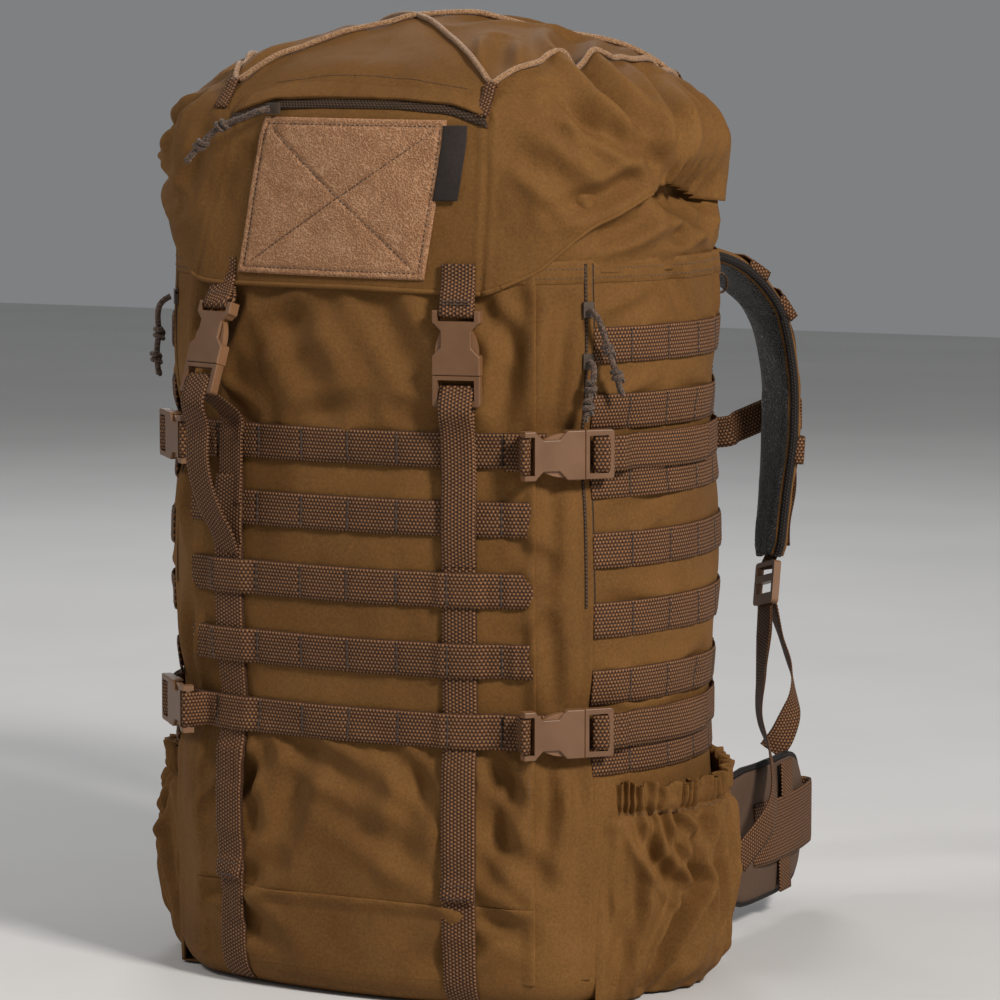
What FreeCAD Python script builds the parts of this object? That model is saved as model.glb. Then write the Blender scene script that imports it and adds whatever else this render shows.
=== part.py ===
import FreeCAD, Part
import math
import os

from FreeCAD import Matrix, Placement, Vector

# ------------------------------------------------------------------ driving sizes, mm
# X across, -Y the front of the bag, +Y the wearer's side, Z up; origin under the bag.

HEM_TOP = 535.0            # top of the panels, where the collar starts
BASE_EDGE = 25.0           # height at which the base's rounded edge meets the walls
LOWER_SEAM = 72.0          # seam between the front panel and the lower front panel
FABRIC = 2.0               # wall of the bag
GAP = 0.1                  # air between layers that lie on each other

# plan of the bag: points on the right half, from the middle of the front to the back
FRONT_MID = (0.0, -150.0)
FRONT_SEAM = (136.0, -128.0)
BAND_MID = (151.0, -117.5)
ZIP_SEAM = (163.0, -104.0)
SIDE_MID = (199.0, -2.0)
BACK_TURN = (171.0, 95.0)
BACK_CORNER = (164.0, 113.0)
BACK_EDGE = (148.0, 125.0)
BACK_Y = 125.0

WEBBING = 25.0             # width of the narrow webbing
WEBBING_THICK = 1.6
BELT_WEBBING = 50.0
FRONT_ROWS = (200.0, 250.0, 300.0, 350.0, 398.0)
SIDE_ROWS = (180.0, 230.0, 278.0, 327.0, 376.0, 424.0, 471.0)
ROW_REACH = 135.0          # half length of a front row
STRAP_X_RIGHT = 84.0       # centres of the two front straps
STRAP_X_LEFT = -100.0
COMPRESSION_ROWS = (200.0, 396.0)

# lid: (height, scale across, scale front to back) of the bag's plan
LID_SECTIONS = (
    (500.0, 1.022, 1.022),
    (614.0, 1.022, 1.022),
    (628.0, 0.990, 1.018),
    (638.0, 0.940, 0.990),
    (648.0, 0.880, 0.930),
    (658.0, 0.790, 0.850),
    (669.0, 0.670, 0.730),
    (681.0, 0.510, 0.570),
    (691.0, 0.330, 0.390),
    (699.0, 0.150, 0.200),
)
LID_WALL = 0.0125          # lid's wall as a part of the plan's scale
LID_FLOOR_Z = 633.0
LID_FRONT_HALF = 102.0     # half width of the low part of the lid's front edge
LID_FRONT_LOW = 508.0      # height of that edge
HINGE_Y = 128.0
HINGE_Z = 585.0

# collar: (height, scale) of the bag's plan
COLLAR_SECTIONS = ((HEM_TOP + GAP, 0.985), (598.0, 0.985), (610.0, 0.82), (616.0, 0.60))
COLLAR_MOUTH = 0.60
DRAWCORD = 4.0

# side release buckle for the narrow webbing
BUCKLE_HALF = 17.2         # half width
BUCKLE_FEMALE = 45.0       # length of the female half
BUCKLE_MALE = 22.0         # length of the male half's frame
BUCKLE_BACK = 4.2          # half thickness
BUCKLE_WAIST = 11.0

# shoulder straps, right side: centre line of the pad, from the back panel over the shoulder,
# and how far its width direction is turned from X about the upright, degrees
PAD_LINE = (
    ((58.0, 134.5, 455.0), 0.0),
    ((62.0, 141.0, 495.0), 0.0),
    ((72.0, 172.0, 516.0), 0.0),
    ((90.0, 222.0, 518.0), -10.0),
    ((108.0, 270.0, 503.0), -25.0),
    ((127.0, 306.0, 470.0), -42.0),
    ((134.0, 322.0, 420.0), -46.0),
    ((134.0, 324.0, 370.0), -46.0),
    ((132.0, 319.0, 320.0), -46.0),
    ((131.0, 311.0, 275.0), -42.0),
)
PAD_WIDTH = 64.0
PAD_THICK = 14.0

# hip belt fins, right side: plan of the centre line
FIN_LINE = ((147.0, 142.0), (158.0, 180.0), (162.0, 230.0), (161.0, 275.0), (154.0, 315.0))
FIN_LOW = 20.0
FIN_HIGH = 125.0
FIN_THICK = 12.0
BELT_BUCKLE = (1.72, 1.15, 1.35)    # belt buckle's size as shares of the narrow one's
BELT_BUCKLE_X = 143.0


X_AXIS = Vector(1, 0, 0)


def mirrored(shape):
    """The same piece on the other side of the bag."""
    return shape.mirror(Vector(0, 0, 0), Vector(1, 0, 0))


def write(node, *solids):
    """One STEP file per node, holding each of its separate solids."""
    shape = solids[0] if len(solids) == 1 else Part.makeCompound(list(solids))
    for solid in shape.Solids:
        if not solid.isValid():
            print("not valid:", node)
    shape.exportStep("parts/" + node + ".step")
    print(node, len(shape.Solids), round(shape.Volume / 1000.0, 1), "cm3")


def box(low, high):
    """Box between two corners."""
    size = [b - a for a, b in zip(low, high)]
    return Part.makeBox(size[0], size[1], size[2], Vector(*low))


def rounded_box(low, high, radius):
    """Box with all its edges rounded."""
    solid = box(low, high)
    return solid.makeFillet(radius, solid.Edges)


# ------------------------------------------------------------------ the bag's plan

def plan_wire(z, scale_x=1.0, scale_y=1.0):
    """Closed outline of the bag at a height, scaled about its upright axis."""
    def at(point, side=1.0):
        return Vector(side * point[0] * scale_x, point[1] * scale_y, z)

    turns = ((FRONT_SEAM, BAND_MID, ZIP_SEAM), (ZIP_SEAM, SIDE_MID, BACK_TURN),
             (BACK_TURN, BACK_CORNER, BACK_EDGE))
    edges = [Part.Arc(at(FRONT_SEAM, -1.0), at(FRONT_MID), at(FRONT_SEAM)).toShape()]
    for first, middle, last in turns:
        edges.append(Part.Arc(at(first), at(middle), at(last)).toShape())
    edges.append(Part.LineSegment(at(BACK_EDGE), at(BACK_EDGE, -1.0)).toShape())
    for first, middle, last in reversed(turns):
        edges.append(Part.Arc(at(last, -1.0), at(middle, -1.0), at(first, -1.0)).toShape())
    return Part.Wire(edges)


def loft(sections, shrink=0.0, lift=0.0, ruled=False):
    """Solid through scaled plans; shrink takes a share off each, lift raises its ends."""
    wires = []
    for index, section in enumerate(sections):
        height = section[0]
        if index == 0:
            height += lift
        if index == len(sections) - 1:
            height -= abs(lift)
        wires.append(plan_wire(height, section[1] - shrink, section[-1] - shrink))
    return Part.makeLoft(wires, True, ruled)


def prism(low, high, offset=0.0, scale=(1.0, 1.0)):
    """Upright solid over the bag's plan, grown by an offset."""
    wire = plan_wire(low, scale[0], scale[1])
    if offset:
        wire = wire.makeOffset2D(offset)
    return Part.Face(wire).extrude(Vector(0, 0, high - low))


def ring(inner, outer, low, high, scale=(1.0, 1.0)):
    """Band round the bag between two offsets from its plan."""
    return prism(low, high, outer, scale).cut(prism(low, high, inner, scale))


def sector(start, end, low=-10.0, high=800.0):
    """Wedge about the upright axis, between the directions of two plan points."""
    reach = 900.0
    corners = [Vector(0, 0, low)]
    for point in (start, end):
        length = math.hypot(point[0], point[1])
        corners.append(Vector(point[0] / length * reach, point[1] / length * reach, low))
    corners.append(corners[0])
    return Part.Face(Part.makePolygon(corners)).extrude(Vector(0, 0, high - low))


def front_y(x):
    """Y of the front panel's outer face at x."""
    rise = FRONT_SEAM[1] - FRONT_MID[1]
    radius = (FRONT_SEAM[0] ** 2 + rise ** 2) / (2 * rise)
    return FRONT_MID[1] + radius - math.sqrt(radius ** 2 - x ** 2)


# ------------------------------------------------------------------ bag

def bag_wall():
    """Hollow wall of the bag with its rounded base edge, open at the top."""
    edge = ((0.0, 0.885), (3.0, 0.930), (10.0, 0.970), (BASE_EDGE, 1.0), (HEM_TOP, 1.0))
    outer = loft(edge, ruled=True)
    inner_sections = [(z + FABRIC * (z < BASE_EDGE), s - 0.0135) for z, s in edge]
    inner_sections[-1] = (HEM_TOP + 5.0, 1.0 - 0.0135)
    return outer.cut(loft(inner_sections, ruled=True))


def panels():
    wall = bag_wall()
    left_front = (-FRONT_SEAM[0], FRONT_SEAM[1])
    right_front = sector(FRONT_SEAM, ZIP_SEAM)
    right_side = sector(ZIP_SEAM, BACK_CORNER)
    above = wall.common(box((-300, -300, BASE_EDGE), (300, 300, 600)))
    front = above.common(sector(left_front, FRONT_SEAM))
    write("base_panel", wall.common(box((-300, -300, -5), (300, 300, BASE_EDGE))))
    write("front_panels", front.common(box((-300, -300, LOWER_SEAM), (300, 300, 600))),
          front.common(box((-300, -300, 0), (300, 300, LOWER_SEAM))))
    band = above.common(right_front)
    write("corner_bands", band, mirrored(band))
    side = above.common(right_side)
    write("side_panels", side, mirrored(side))
    back = sector(BACK_CORNER, (-BACK_CORNER[0], BACK_CORNER[1]))
    write("back_panel", above.common(back))


def collar():
    """Skirt above the panels, drawn in to a mouth, with its drawcord and cord lock."""
    outer = loft(COLLAR_SECTIONS, ruled=True)
    inner = [(z, s - 0.012) for z, s in COLLAR_SECTIONS]
    inner[0] = (HEM_TOP - 1.0, 0.973)
    inner[-1] = (COLLAR_SECTIONS[-1][0] + 1.0, COLLAR_MOUTH - 0.03)
    write("collar", outer.cut(loft(inner, ruled=True)))
    mouth = (COLLAR_MOUTH, COLLAR_MOUTH)
    low = COLLAR_SECTIONS[-1][0] + GAP
    cord = ring(-DRAWCORD, -GAP, low, low + DRAWCORD, mouth)
    lock_y = FRONT_MID[1] * COLLAR_MOUTH
    room = box((-8, lock_y - 12, low - 5), (8, lock_y + 12, low + 9))
    write("drawcord", cord.cut(room))
    axis = Vector(0, -1, 0)
    barrel = Part.makeCylinder(6.5, 20.0, Vector(0, lock_y + 10, low + 6.7), axis)
    bore = Part.makeCylinder(4.7, 15.0, Vector(0, lock_y + 5, low + 6.7), axis)
    write("cord_lock_body", barrel.cut(bore))
    stem = Part.makeCylinder(4.4, 12.0, Vector(0, lock_y - 3.5, low + 6.7), axis)
    cap = Part.makeCylinder(5.6, 3.0, Vector(0, lock_y - 15.5, low + 6.7), axis)
    write("cord_lock_plunger", stem.fuse(cap).removeSplitter())
    coil_wire = Part.makeHelix(1.9, 7.6, 3.4)
    start = Vector(3.4, 0, 0)
    profile = Part.Wire(Part.makeCircle(0.4, start, Vector(0, 1, 0.09)))
    coil = Part.Wire(coil_wire).makePipeShell([profile], True, True)
    coil.Placement = Placement(Vector(0, lock_y + 4.6, low + 6.7), FreeCAD.Rotation(X_AXIS, 90))
    write("cord_lock_spring", coil)


def inside():
    """Frame sheet and stays against the back panel."""
    sheet = box((-130, 119.5, 32), (130, 121.5, 500))
    write("frame_sheet", sheet.makeFillet(25.0, [e for e in sheet.Edges if abs(e.Length - 2.0) < 0.1]))
    stay = box((50, 116.2, 36), (75, 119.4, 492))
    write("frame_stays", stay, mirrored(stay))


def back():
    """Pads on the wearer's side, the haul loop and the two loops at the hem."""
    pad = rounded_box((18, 125.4, 185), (118, 139.4, 440), 6.0)
    write("back_pads", pad, mirrored(pad))
    write("lumbar_pad", rounded_box((-132, 125.4, 34), (132, 149.4, 165), 9.0))
    arch = ((-46.0, 126.6), (-40.0, 140.0), (-22.0, 149.0), (22.0, 149.0), (40.0, 140.0),
            (46.0, 126.6))
    outer = [Vector(x, y, 512.0) for x, y in arch]
    inner = [Vector(x * 0.93, y - 3.0 * (y > 130), 512.0) for x, y in reversed(arch)]
    face = Part.Face(Part.makePolygon(outer + inner + outer[:1]))
    haul = face.extrude(Vector(0, 0, WEBBING))
    tab = ring(0.3, 3.3, 503, 519).common(sector((170.5, 84.0), (168.0, 104.0)))
    write("webbing_loops", haul, tab, mirrored(tab))


def pockets():
    """Side pocket: a bulged wall and floor outside the side panel, open at the top."""
    low = 3.0
    high = 166.0

    def bulge(inset, z, top):
        arc = Part.Arc(Vector(168.5 - inset, -96, z), Vector(222 - inset, 0, z),
                       Vector(174.5 - inset, 92, z)).toShape()
        chord = Part.LineSegment(Vector(174.5 - inset, 92, z), Vector(100, 40, z)).toShape()
        chord_2 = Part.LineSegment(Vector(100, 40, z), Vector(168.5 - inset, -96, z)).toShape()
        return Part.Face(Part.Wire([arc, chord, chord_2])).extrude(Vector(0, 0, top - z))

    body = prism(low - 1, high + 1, 0.2)
    pocket = bulge(0.0, low, high).cut(bulge(2.4, low + 3.0, high + 1)).cut(body)
    solid = max(pocket.Solids, key=lambda s: s.Volume)
    write("side_pockets", solid, mirrored(solid))
    plate = Part.makePolygon([Vector(150, 126, 45), Vector(176, 126, 52), Vector(176, 126, 74),
                              Vector(150, 126, 96), Vector(150, 126, 45)])
    gusset = Part.Face(plate).extrude(Vector(0, 3, 0))
    write("strap_gussets", gusset, mirrored(gusset))


# ------------------------------------------------------------------ webbing and side straps

def webbing():
    left_end = (-ROW_REACH, -128.5)
    right_end = (ROW_REACH, -128.5)
    front = sector(left_end, right_end)
    rows = []
    for z in FRONT_ROWS:
        row = ring(GAP, GAP + WEBBING_THICK, z - WEBBING / 2, z + WEBBING / 2).common(front)
        rows.append(row)
    write("front_webbing", *rows)
    side = sector((166.0, -97.0), (172.5, 90.0))
    rows = []
    for z in SIDE_ROWS:
        rows.append(ring(GAP, GAP + WEBBING_THICK, z - WEBBING / 2, z + WEBBING / 2).common(side))
    write("side_webbing", *rows, *[mirrored(row) for row in rows])
    straps = []
    over = sector((174.0, -80.0), (165.0, 108.0))
    for z in COMPRESSION_ROWS:
        strap = ring(2.2, 3.8, z - WEBBING / 2, z + WEBBING / 2).common(over)
        straps += [strap, mirrored(strap)]
    write("compression_straps", *straps)
    front_straps = []
    for x in (STRAP_X_RIGHT, STRAP_X_LEFT):
        room = box((x - WEBBING / 2, -300, 27), (x + WEBBING / 2, 0, 440))
        front_straps.append(ring(2.2, 3.8, 20, 450).common(room))
    write("front_straps", *front_straps)


# ------------------------------------------------------------------ side release buckles

def placed(shape, origin, up, outward):
    """Put a piece modelled with +Z up and its face towards -Y where it belongs."""
    z_axis = Vector(*up).normalize()
    y_axis = -Vector(*outward).normalize()
    x_axis = y_axis.cross(z_axis)
    matrix = Matrix(x_axis.x, y_axis.x, z_axis.x, origin[0],
                    x_axis.y, y_axis.y, z_axis.y, origin[1],
                    x_axis.z, y_axis.z, z_axis.z, origin[2],
                    0, 0, 0, 1)
    copy = shape.copy()
    copy.Placement = Placement(matrix)
    return copy


def buckle_female():
    """Waisted shell with a slot for its webbing; the back of its pocket is left open."""
    half = ((17.2, 0.0), (17.2, 13.0), (11.0, 19.0), (11.0, 31.0), (15.5, 35.5), (17.2, 36.5),
            (17.2, 45.0), (13.6, 45.0))
    points = [Vector(x, -BUCKLE_BACK, z) for x, z in half]
    points += [Vector(-x, -BUCKLE_BACK, z) for x, z in reversed(half)]
    points.append(points[0])
    solid = Part.Face(Part.makePolygon(points)).extrude(Vector(0, 2 * BUCKLE_BACK, 0))
    upright = [e for e in solid.Edges if abs(e.Vertexes[0].Z - e.Vertexes[-1].Z) < 1e-6
               and abs(e.Vertexes[0].X - e.Vertexes[-1].X) < 1e-6]
    solid = solid.makeFillet(1.4, [e for e in upright if 1.0 < e.Vertexes[0].Z < 44.0
                                   and abs(e.Vertexes[0].X) > 10.0
                                   and abs(e.Vertexes[0].X) != 15.5])
    face_edges = [e for e in solid.Edges if all(abs(v.Y + BUCKLE_BACK) < 1e-6 for v in e.Vertexes)]
    solid = solid.makeFillet(0.9, face_edges)
    pocket = box((-15.9, -2.2, -1), (15.9, 6, 33.0))
    slot = box((-13.4, -6, 37.5), (13.4, 6, 41.5))
    bar_front = box((-13.4, -6, 41.5), (13.4, -1.6, 46))
    bar_back = box((-13.4, 1.6, 41.5), (13.4, 6, 46))
    return solid.cut(pocket).cut(slot).cut(bar_front).cut(bar_back)


def buckle_male():
    """Frame with an adjuster bar, a middle guide and two sprung side arms."""
    frame = box((-BUCKLE_HALF, -3.6, -BUCKLE_MALE), (BUCKLE_HALF, 3.6, -0.4))
    upright = [e for e in frame.Edges if abs(e.Length - 7.2) < 1e-3]
    frame = frame.makeFillet(2.2, [e for e in upright if e.Vertexes[0].Z < -20])
    rim = [e for e in frame.Edges if e.BoundBox.YLength < 1e-6]
    frame = frame.makeFillet(0.8, rim)
    frame = frame.cut(box((-13.2, -5, -17.6), (13.2, 5, -3.4)))
    bar = box((-13.5, -1.2, -12.4), (13.5, 1.8, -8.2))
    guide = box((-2.6, -1.7, -2.0), (2.6, 1.7, 27.0))
    nose = [e for e in guide.Edges if e.Vertexes[0].Z > 26 and e.Vertexes[-1].Z > 26]
    guide = guide.makeFillet(1.2, nose)
    collar_block = box((-14.6, -1.9, -1.5), (14.6, 3.0, 4.0))
    arm_outer = Part.Arc(Vector(13.2, -1.8, 3.5), Vector(14.9, -1.8, 20.0), Vector(10.6, -1.8, 31.0))
    arm_inner = Part.Arc(Vector(7.6, -1.8, 29.0), Vector(11.2, -1.8, 18.0), Vector(9.6, -1.8, 3.5))
    ends = (Part.LineSegment(Vector(10.6, -1.8, 31.0), Vector(7.6, -1.8, 29.0)),
            Part.LineSegment(Vector(9.6, -1.8, 3.5), Vector(13.2, -1.8, 3.5)))
    wire = Part.Wire([arm_outer.toShape(), ends[0].toShape(), arm_inner.toShape(), ends[1].toShape()])
    arm = Part.Face(wire).extrude(Vector(0, 4.6, 0))
    solid = frame.fuse([bar, guide, collar_block, arm, mirrored(arm)])
    return solid.removeSplitter()


LID_BUCKLE_Z = 451.0
LID_BUCKLE_OFF = 8.6       # stand off of the buckle's middle from the front panel
LEFT_PITCH = 18.0          # the left lid buckle's foot hangs out, degrees
LEFT_YAW = -20.0
SIDE_BUCKLE_OFF = 7.6
SIDE_BUCKLE_TURN = 46.0
SIDE_BUCKLE_SHIFT = 13.0   # from the middle of the corner band to the buckle's mouth


def lid_buckle_frames():
    """(origin, up, outward) of the right and the left lid buckle."""
    slope = math.asin(STRAP_X_RIGHT / 431.0)
    outward = (math.sin(slope), -math.cos(slope), 0.0)
    right = ((STRAP_X_RIGHT + outward[0] * LID_BUCKLE_OFF,
              front_y(STRAP_X_RIGHT) + outward[1] * LID_BUCKLE_OFF, LID_BUCKLE_Z), (0, 0, 1), outward)
    yaw = math.radians(LEFT_YAW)
    pitch = math.radians(LEFT_PITCH)
    flat = (math.sin(yaw), -math.cos(yaw))
    up = (-flat[0] * math.sin(pitch), -flat[1] * math.sin(pitch), math.cos(pitch))
    face = (flat[0] * math.cos(pitch), flat[1] * math.cos(pitch), math.sin(pitch))
    top = (STRAP_X_LEFT - 4.0, front_y(STRAP_X_LEFT) - 10.5, LID_BUCKLE_Z + BUCKLE_FEMALE)
    origin = tuple(t - u * BUCKLE_FEMALE for t, u in zip(top, up))
    return right, (origin, up, face)


def side_buckle_frame(z):
    """(origin, up, outward) of a right compression buckle; up points to the front."""
    turn = math.radians(SIDE_BUCKLE_TURN)
    along = (math.cos(turn), math.sin(turn))
    outward = (math.sin(turn), -math.cos(turn))
    origin = (BAND_MID[0] + outward[0] * SIDE_BUCKLE_OFF + along[0] * SIDE_BUCKLE_SHIFT,
              BAND_MID[1] + outward[1] * SIDE_BUCKLE_OFF + along[1] * SIDE_BUCKLE_SHIFT, z)
    return origin, (-along[0], -along[1], 0.0), (outward[0], outward[1], 0.0)


def buckles():
    female = buckle_female()
    male = buckle_male()
    right, left = lid_buckle_frames()
    write("lid_buckle_females", placed(female, *right), placed(female, *left))
    write("lid_buckle_male_right", placed(male, *right))
    write("lid_buckle_male_left", placed(male, *left))
    print("left lid buckle", left)
    females = []
    for name, z in (("lower", COMPRESSION_ROWS[0]), ("upper", COMPRESSION_ROWS[1])):
        frame = side_buckle_frame(z)
        females += [placed(female, *frame), mirrored(placed(female, *frame))]
        write("side_buckle_male_" + name + "_right", placed(male, *frame))
        write("side_buckle_male_" + name + "_left", mirrored(placed(male, *frame)))
        print("side buckle", frame)
    write("side_buckle_females", *females)


# ------------------------------------------------------------------ cords

def cord(points, radius):
    """Tube along straight runs joined by tangent arcs, as large as the runs allow."""
    route = [Vector(*p) for p in points]
    edges = []
    radii = []
    start = route[0]
    for before, corner, after in zip(route, route[1:], route[2:]):
        back_run = before - corner
        next_run = after - corner
        shorter = min(back_run.Length, next_run.Length)
        back_run.normalize()
        next_run.normalize()
        turn = math.pi - back_run.getAngle(next_run)
        reach = 0.45 * shorter
        bend = reach / math.tan(turn / 2)
        radii.append(round(bend, 1))
        first = corner + back_run * reach
        last = corner + next_run * reach
        middle = corner + (back_run + next_run).normalize() * (bend / math.cos(turn / 2) - bend)
        if (first - start).Length > 1e-4:
            edges.append(Part.LineSegment(start, first).toShape())
        edges.append(Part.Arc(first, middle, last).toShape())
        start = last
    edges.append(Part.LineSegment(start, route[-1]).toShape())
    wire = Part.Wire(edges)
    profile = Part.Wire(Part.makeCircle(radius, route[0], route[1] - route[0]))
    tube = wire.makePipeShell([profile], True, True)
    share = tube.Volume / (math.pi * radius ** 2 * wire.Length)
    print("cord", round(wire.Length, 1), "mm, volume share", round(share, 3), "radii", min(radii))
    return tube


# ------------------------------------------------------------------ zips

SLIDER_SIZE = (8.0, 2.4, 11.0)
PULL_RADIUS = 2.2
SIDE_ZIP = (285.0, 530.0)
SLIDER_UPPER_Z = 496.0
SLIDER_LOWER_Z = 460.0
LID_ZIP_Z = 634.0
LID_ZIP_SCALE = (0.98, 1.012)
LID_SLIDER_X = -58.0

# pull cords: from the slider's eye, along the outward and the upright direction
PULL_LONG = ((0.0, 0.0), (7.0, -3.0), (9.5, -13.0), (7.5, -27.0), (9.5, -42.0), (7.0, -58.0))
PULL_SHORT = ((0.0, 0.0), (6.5, -2.5), (8.5, -10.0), (7.0, -19.0), (8.5, -29.0), (6.5, -39.0))


def slider():
    """Zip slider with rounded body and a cross eye for its pull cord."""
    wide, thick, tall = SLIDER_SIZE
    body = box((-wide / 2, -thick, -tall / 2), (wide / 2, 0, tall / 2))
    body = body.makeFillet(0.8, [e for e in body.Edges if abs(e.Length - thick) < 1e-6])
    eye = Part.makeCylinder(0.9, wide + 2, Vector(-wide / 2 - 1, -thick / 2, 2.8), X_AXIS)
    return body.cut(eye)


def side_zips():
    tape = ring(GAP, 1.1, SIDE_ZIP[0], SIDE_ZIP[1]).common(sector((160.5, -107.5), (165.2, -99.5)))
    write("side_zips", tape, mirrored(tape))
    outward = Vector(0.80, -0.60, 0.0)
    seam = Vector(ZIP_SEAM[0], ZIP_SEAM[1], 0.0) + outward * 1.5
    for name, z, pull in (("upper", SLIDER_UPPER_Z, PULL_LONG), ("lower", SLIDER_LOWER_Z, PULL_SHORT)):
        origin = (seam.x, seam.y, z)
        piece = placed(slider(), origin, (0, 0, 1), tuple(outward))
        eye = seam + outward * (SLIDER_SIZE[1] + PULL_RADIUS + 0.4)
        lean = Vector(0.6, 0.8, 0.0) * (0.35 if name == "upper" else -0.2)
        points = []
        for out, down in pull:
            at = eye + outward * out + lean * abs(down)
            points.append((at.x, at.y, z + down))
        print("pull", name, [tuple(round(v, 1) for v in p) for p in points])
        tube = cord(points, PULL_RADIUS)
        write("zip_slider_" + name + "_right", piece)
        write("zip_pull_" + name + "_right", tube)
        if name == "upper":
            write("zip_slider_left", mirrored(piece))
            write("zip_pull_left", mirrored(tube))


# ------------------------------------------------------------------ lid

def rim_cut():
    """Everything under the lid's lower edge: low in front, arched over the sides."""
    profile = [(-132.0, 546.0), (-102.0, 580.0), (-55.0, 608.0), (0.0, 612.0), (50.0, 602.0),
               (92.0, 590.0), (140.0, HINGE_Z + 2.0)]
    curve = Part.BSplineCurve()
    curve.interpolate([Vector(-260, y, z) for y, z in profile])
    start = Vector(-260, *profile[0])
    end = Vector(-260, *profile[-1])
    low_back = Vector(-260, 140, 400)
    low_front = Vector(-260, -220, 400)
    front = Vector(-260, -220, profile[0][1] - 12.0)
    edges = [curve.toShape(), Part.LineSegment(end, low_back).toShape(),
             Part.LineSegment(low_back, low_front).toShape(),
             Part.LineSegment(low_front, front).toShape(), Part.LineSegment(front, start).toShape()]
    under = Part.Face(Part.Wire(edges)).extrude(Vector(520, 0, 0))
    flap = box((-LID_FRONT_HALF, -230, LID_FRONT_LOW), (LID_FRONT_HALF, -120, 560))
    return under.cut(flap)


def lid():
    outer = loft(LID_SECTIONS, ruled=True)
    inner = loft(LID_SECTIONS, shrink=LID_WALL, lift=-2.4, ruled=True)
    under = rim_cut()
    room = box((-300, -300, LID_FRONT_LOW), (300, 300, 800))
    shell = outer.cut(inner).common(room).cut(under)
    write("lid_shell", max(shell.Solids, key=lambda s: s.Volume))
    write("lid_floor", prism(LID_FLOOR_Z, LID_FLOOR_Z + 2.0, 0.0, (0.91, 0.955)))
    front = sector((-84.0, -150.0), (76.0, -150.0))
    patch = ring(0.6, 2.0, 521, 629, (1.022, 1.022)).common(front)
    write("lid_patch", patch)
    tag = ring(0.6, 1.8, 575, 625, (1.022, 1.022)).common(sector((78.0, -150.0), (95.0, -147.0)))
    write("lid_tag", tag)
    tape = ring(1.1, 2.0, LID_ZIP_Z - 4, LID_ZIP_Z + 4, LID_ZIP_SCALE)
    write("lid_zip", tape.common(sector((-110.0, -135.0), (110.0, -135.0))))
    lid_slider()
    lid_straps()
    laces(outer)


def zip_circle():
    """Centre Y and radius of the lid zip's arc in plan."""
    half = FRONT_SEAM[0] * LID_ZIP_SCALE[0]
    top = FRONT_MID[1] * LID_ZIP_SCALE[1]
    rise = FRONT_SEAM[1] * LID_ZIP_SCALE[1] - top
    radius = (half ** 2 + rise ** 2) / (2 * rise)
    return top + radius, radius


def lid_slider():
    centre, radius = zip_circle()
    radius += 2.2
    angle = math.asin(LID_SLIDER_X / radius)
    outward = (math.sin(angle), -math.cos(angle), 0.0)
    at = (radius * outward[0], centre + radius * outward[1], LID_ZIP_Z)
    across = (math.cos(angle), math.sin(angle), 0.0)
    print("lid zip circle", centre, radius)
    write("lid_zip_slider", placed(slider(), at, across, outward))
    eye = Vector(at[0], at[1], at[2]) + Vector(*outward) * (SLIDER_SIZE[1] + PULL_RADIUS + 0.4)
    steps = ((0.0, 0.0, 0.0), (-6.0, 5.0, -1.5), (-17.0, 6.5, -6.0), (-31.0, 6.0, -9.5),
             (-45.0, 8.5, -17.0), (-57.0, 9.0, -28.0), (-66.0, 12.0, -38.0))
    points = []
    for along, out, down in steps:
        point = eye + Vector(*across) * along + Vector(*outward) * out
        points.append((point.x, point.y, point.z + down))
    print("lid pull", [tuple(round(v, 1) for v in p) for p in points])
    write("lid_zip_pull", cord(points, PULL_RADIUS))


def strap(stations, thickness):
    """Flat strap through (centre, width direction, width) stations."""
    centres = [Vector(*s[0]) for s in stations]
    wires = []
    for index, (centre, across, width) in enumerate(stations):
        ahead = centres[min(index + 1, len(centres) - 1)] - centres[max(index - 1, 0)]
        ahead.normalize()
        side = Vector(*across)
        side = (side - ahead * side.dot(ahead)).normalize()
        normal = ahead.cross(side)
        half = side * (width / 2)
        deep = normal * (thickness / 2)
        middle = centres[index]
        corners = [middle - half - deep, middle + half - deep, middle + half + deep,
                   middle - half + deep]
        wires.append(Part.makePolygon(corners + corners[:1]))
    return Part.makeLoft(wires, True, True)


def lid_straps():
    """Short webbing from the lid's edge down to each female buckle."""
    right, left = lid_buckle_frames()
    pieces = []
    for x, (origin, up, outward) in ((STRAP_X_RIGHT, right), (STRAP_X_LEFT, left)):
        top = Vector(*origin) + Vector(*up) * (BUCKLE_FEMALE + 1.6)
        flat = Vector(outward[0], outward[1], 0).normalize()
        across = (-flat.y, flat.x, 0)
        wall = Vector(x, front_y(x), 0)
        stations = (((wall + flat * 5.2 + Vector(0, 0, 520)), across, WEBBING),
                    ((wall + flat * 6.2 + Vector(0, 0, 508)), across, WEBBING),
                    (top, across, WEBBING))
        pieces.append(strap([(tuple(s[0]), s[1], s[2]) for s in stations], 2.2))
    write("lid_straps", *pieces)


LACE_RADIUS = 2.2
LACE_LOOPS = ((-105.0, -121.0), (100.0, -125.0), (146.0, 88.0), (-146.0, 88.0))


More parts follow.
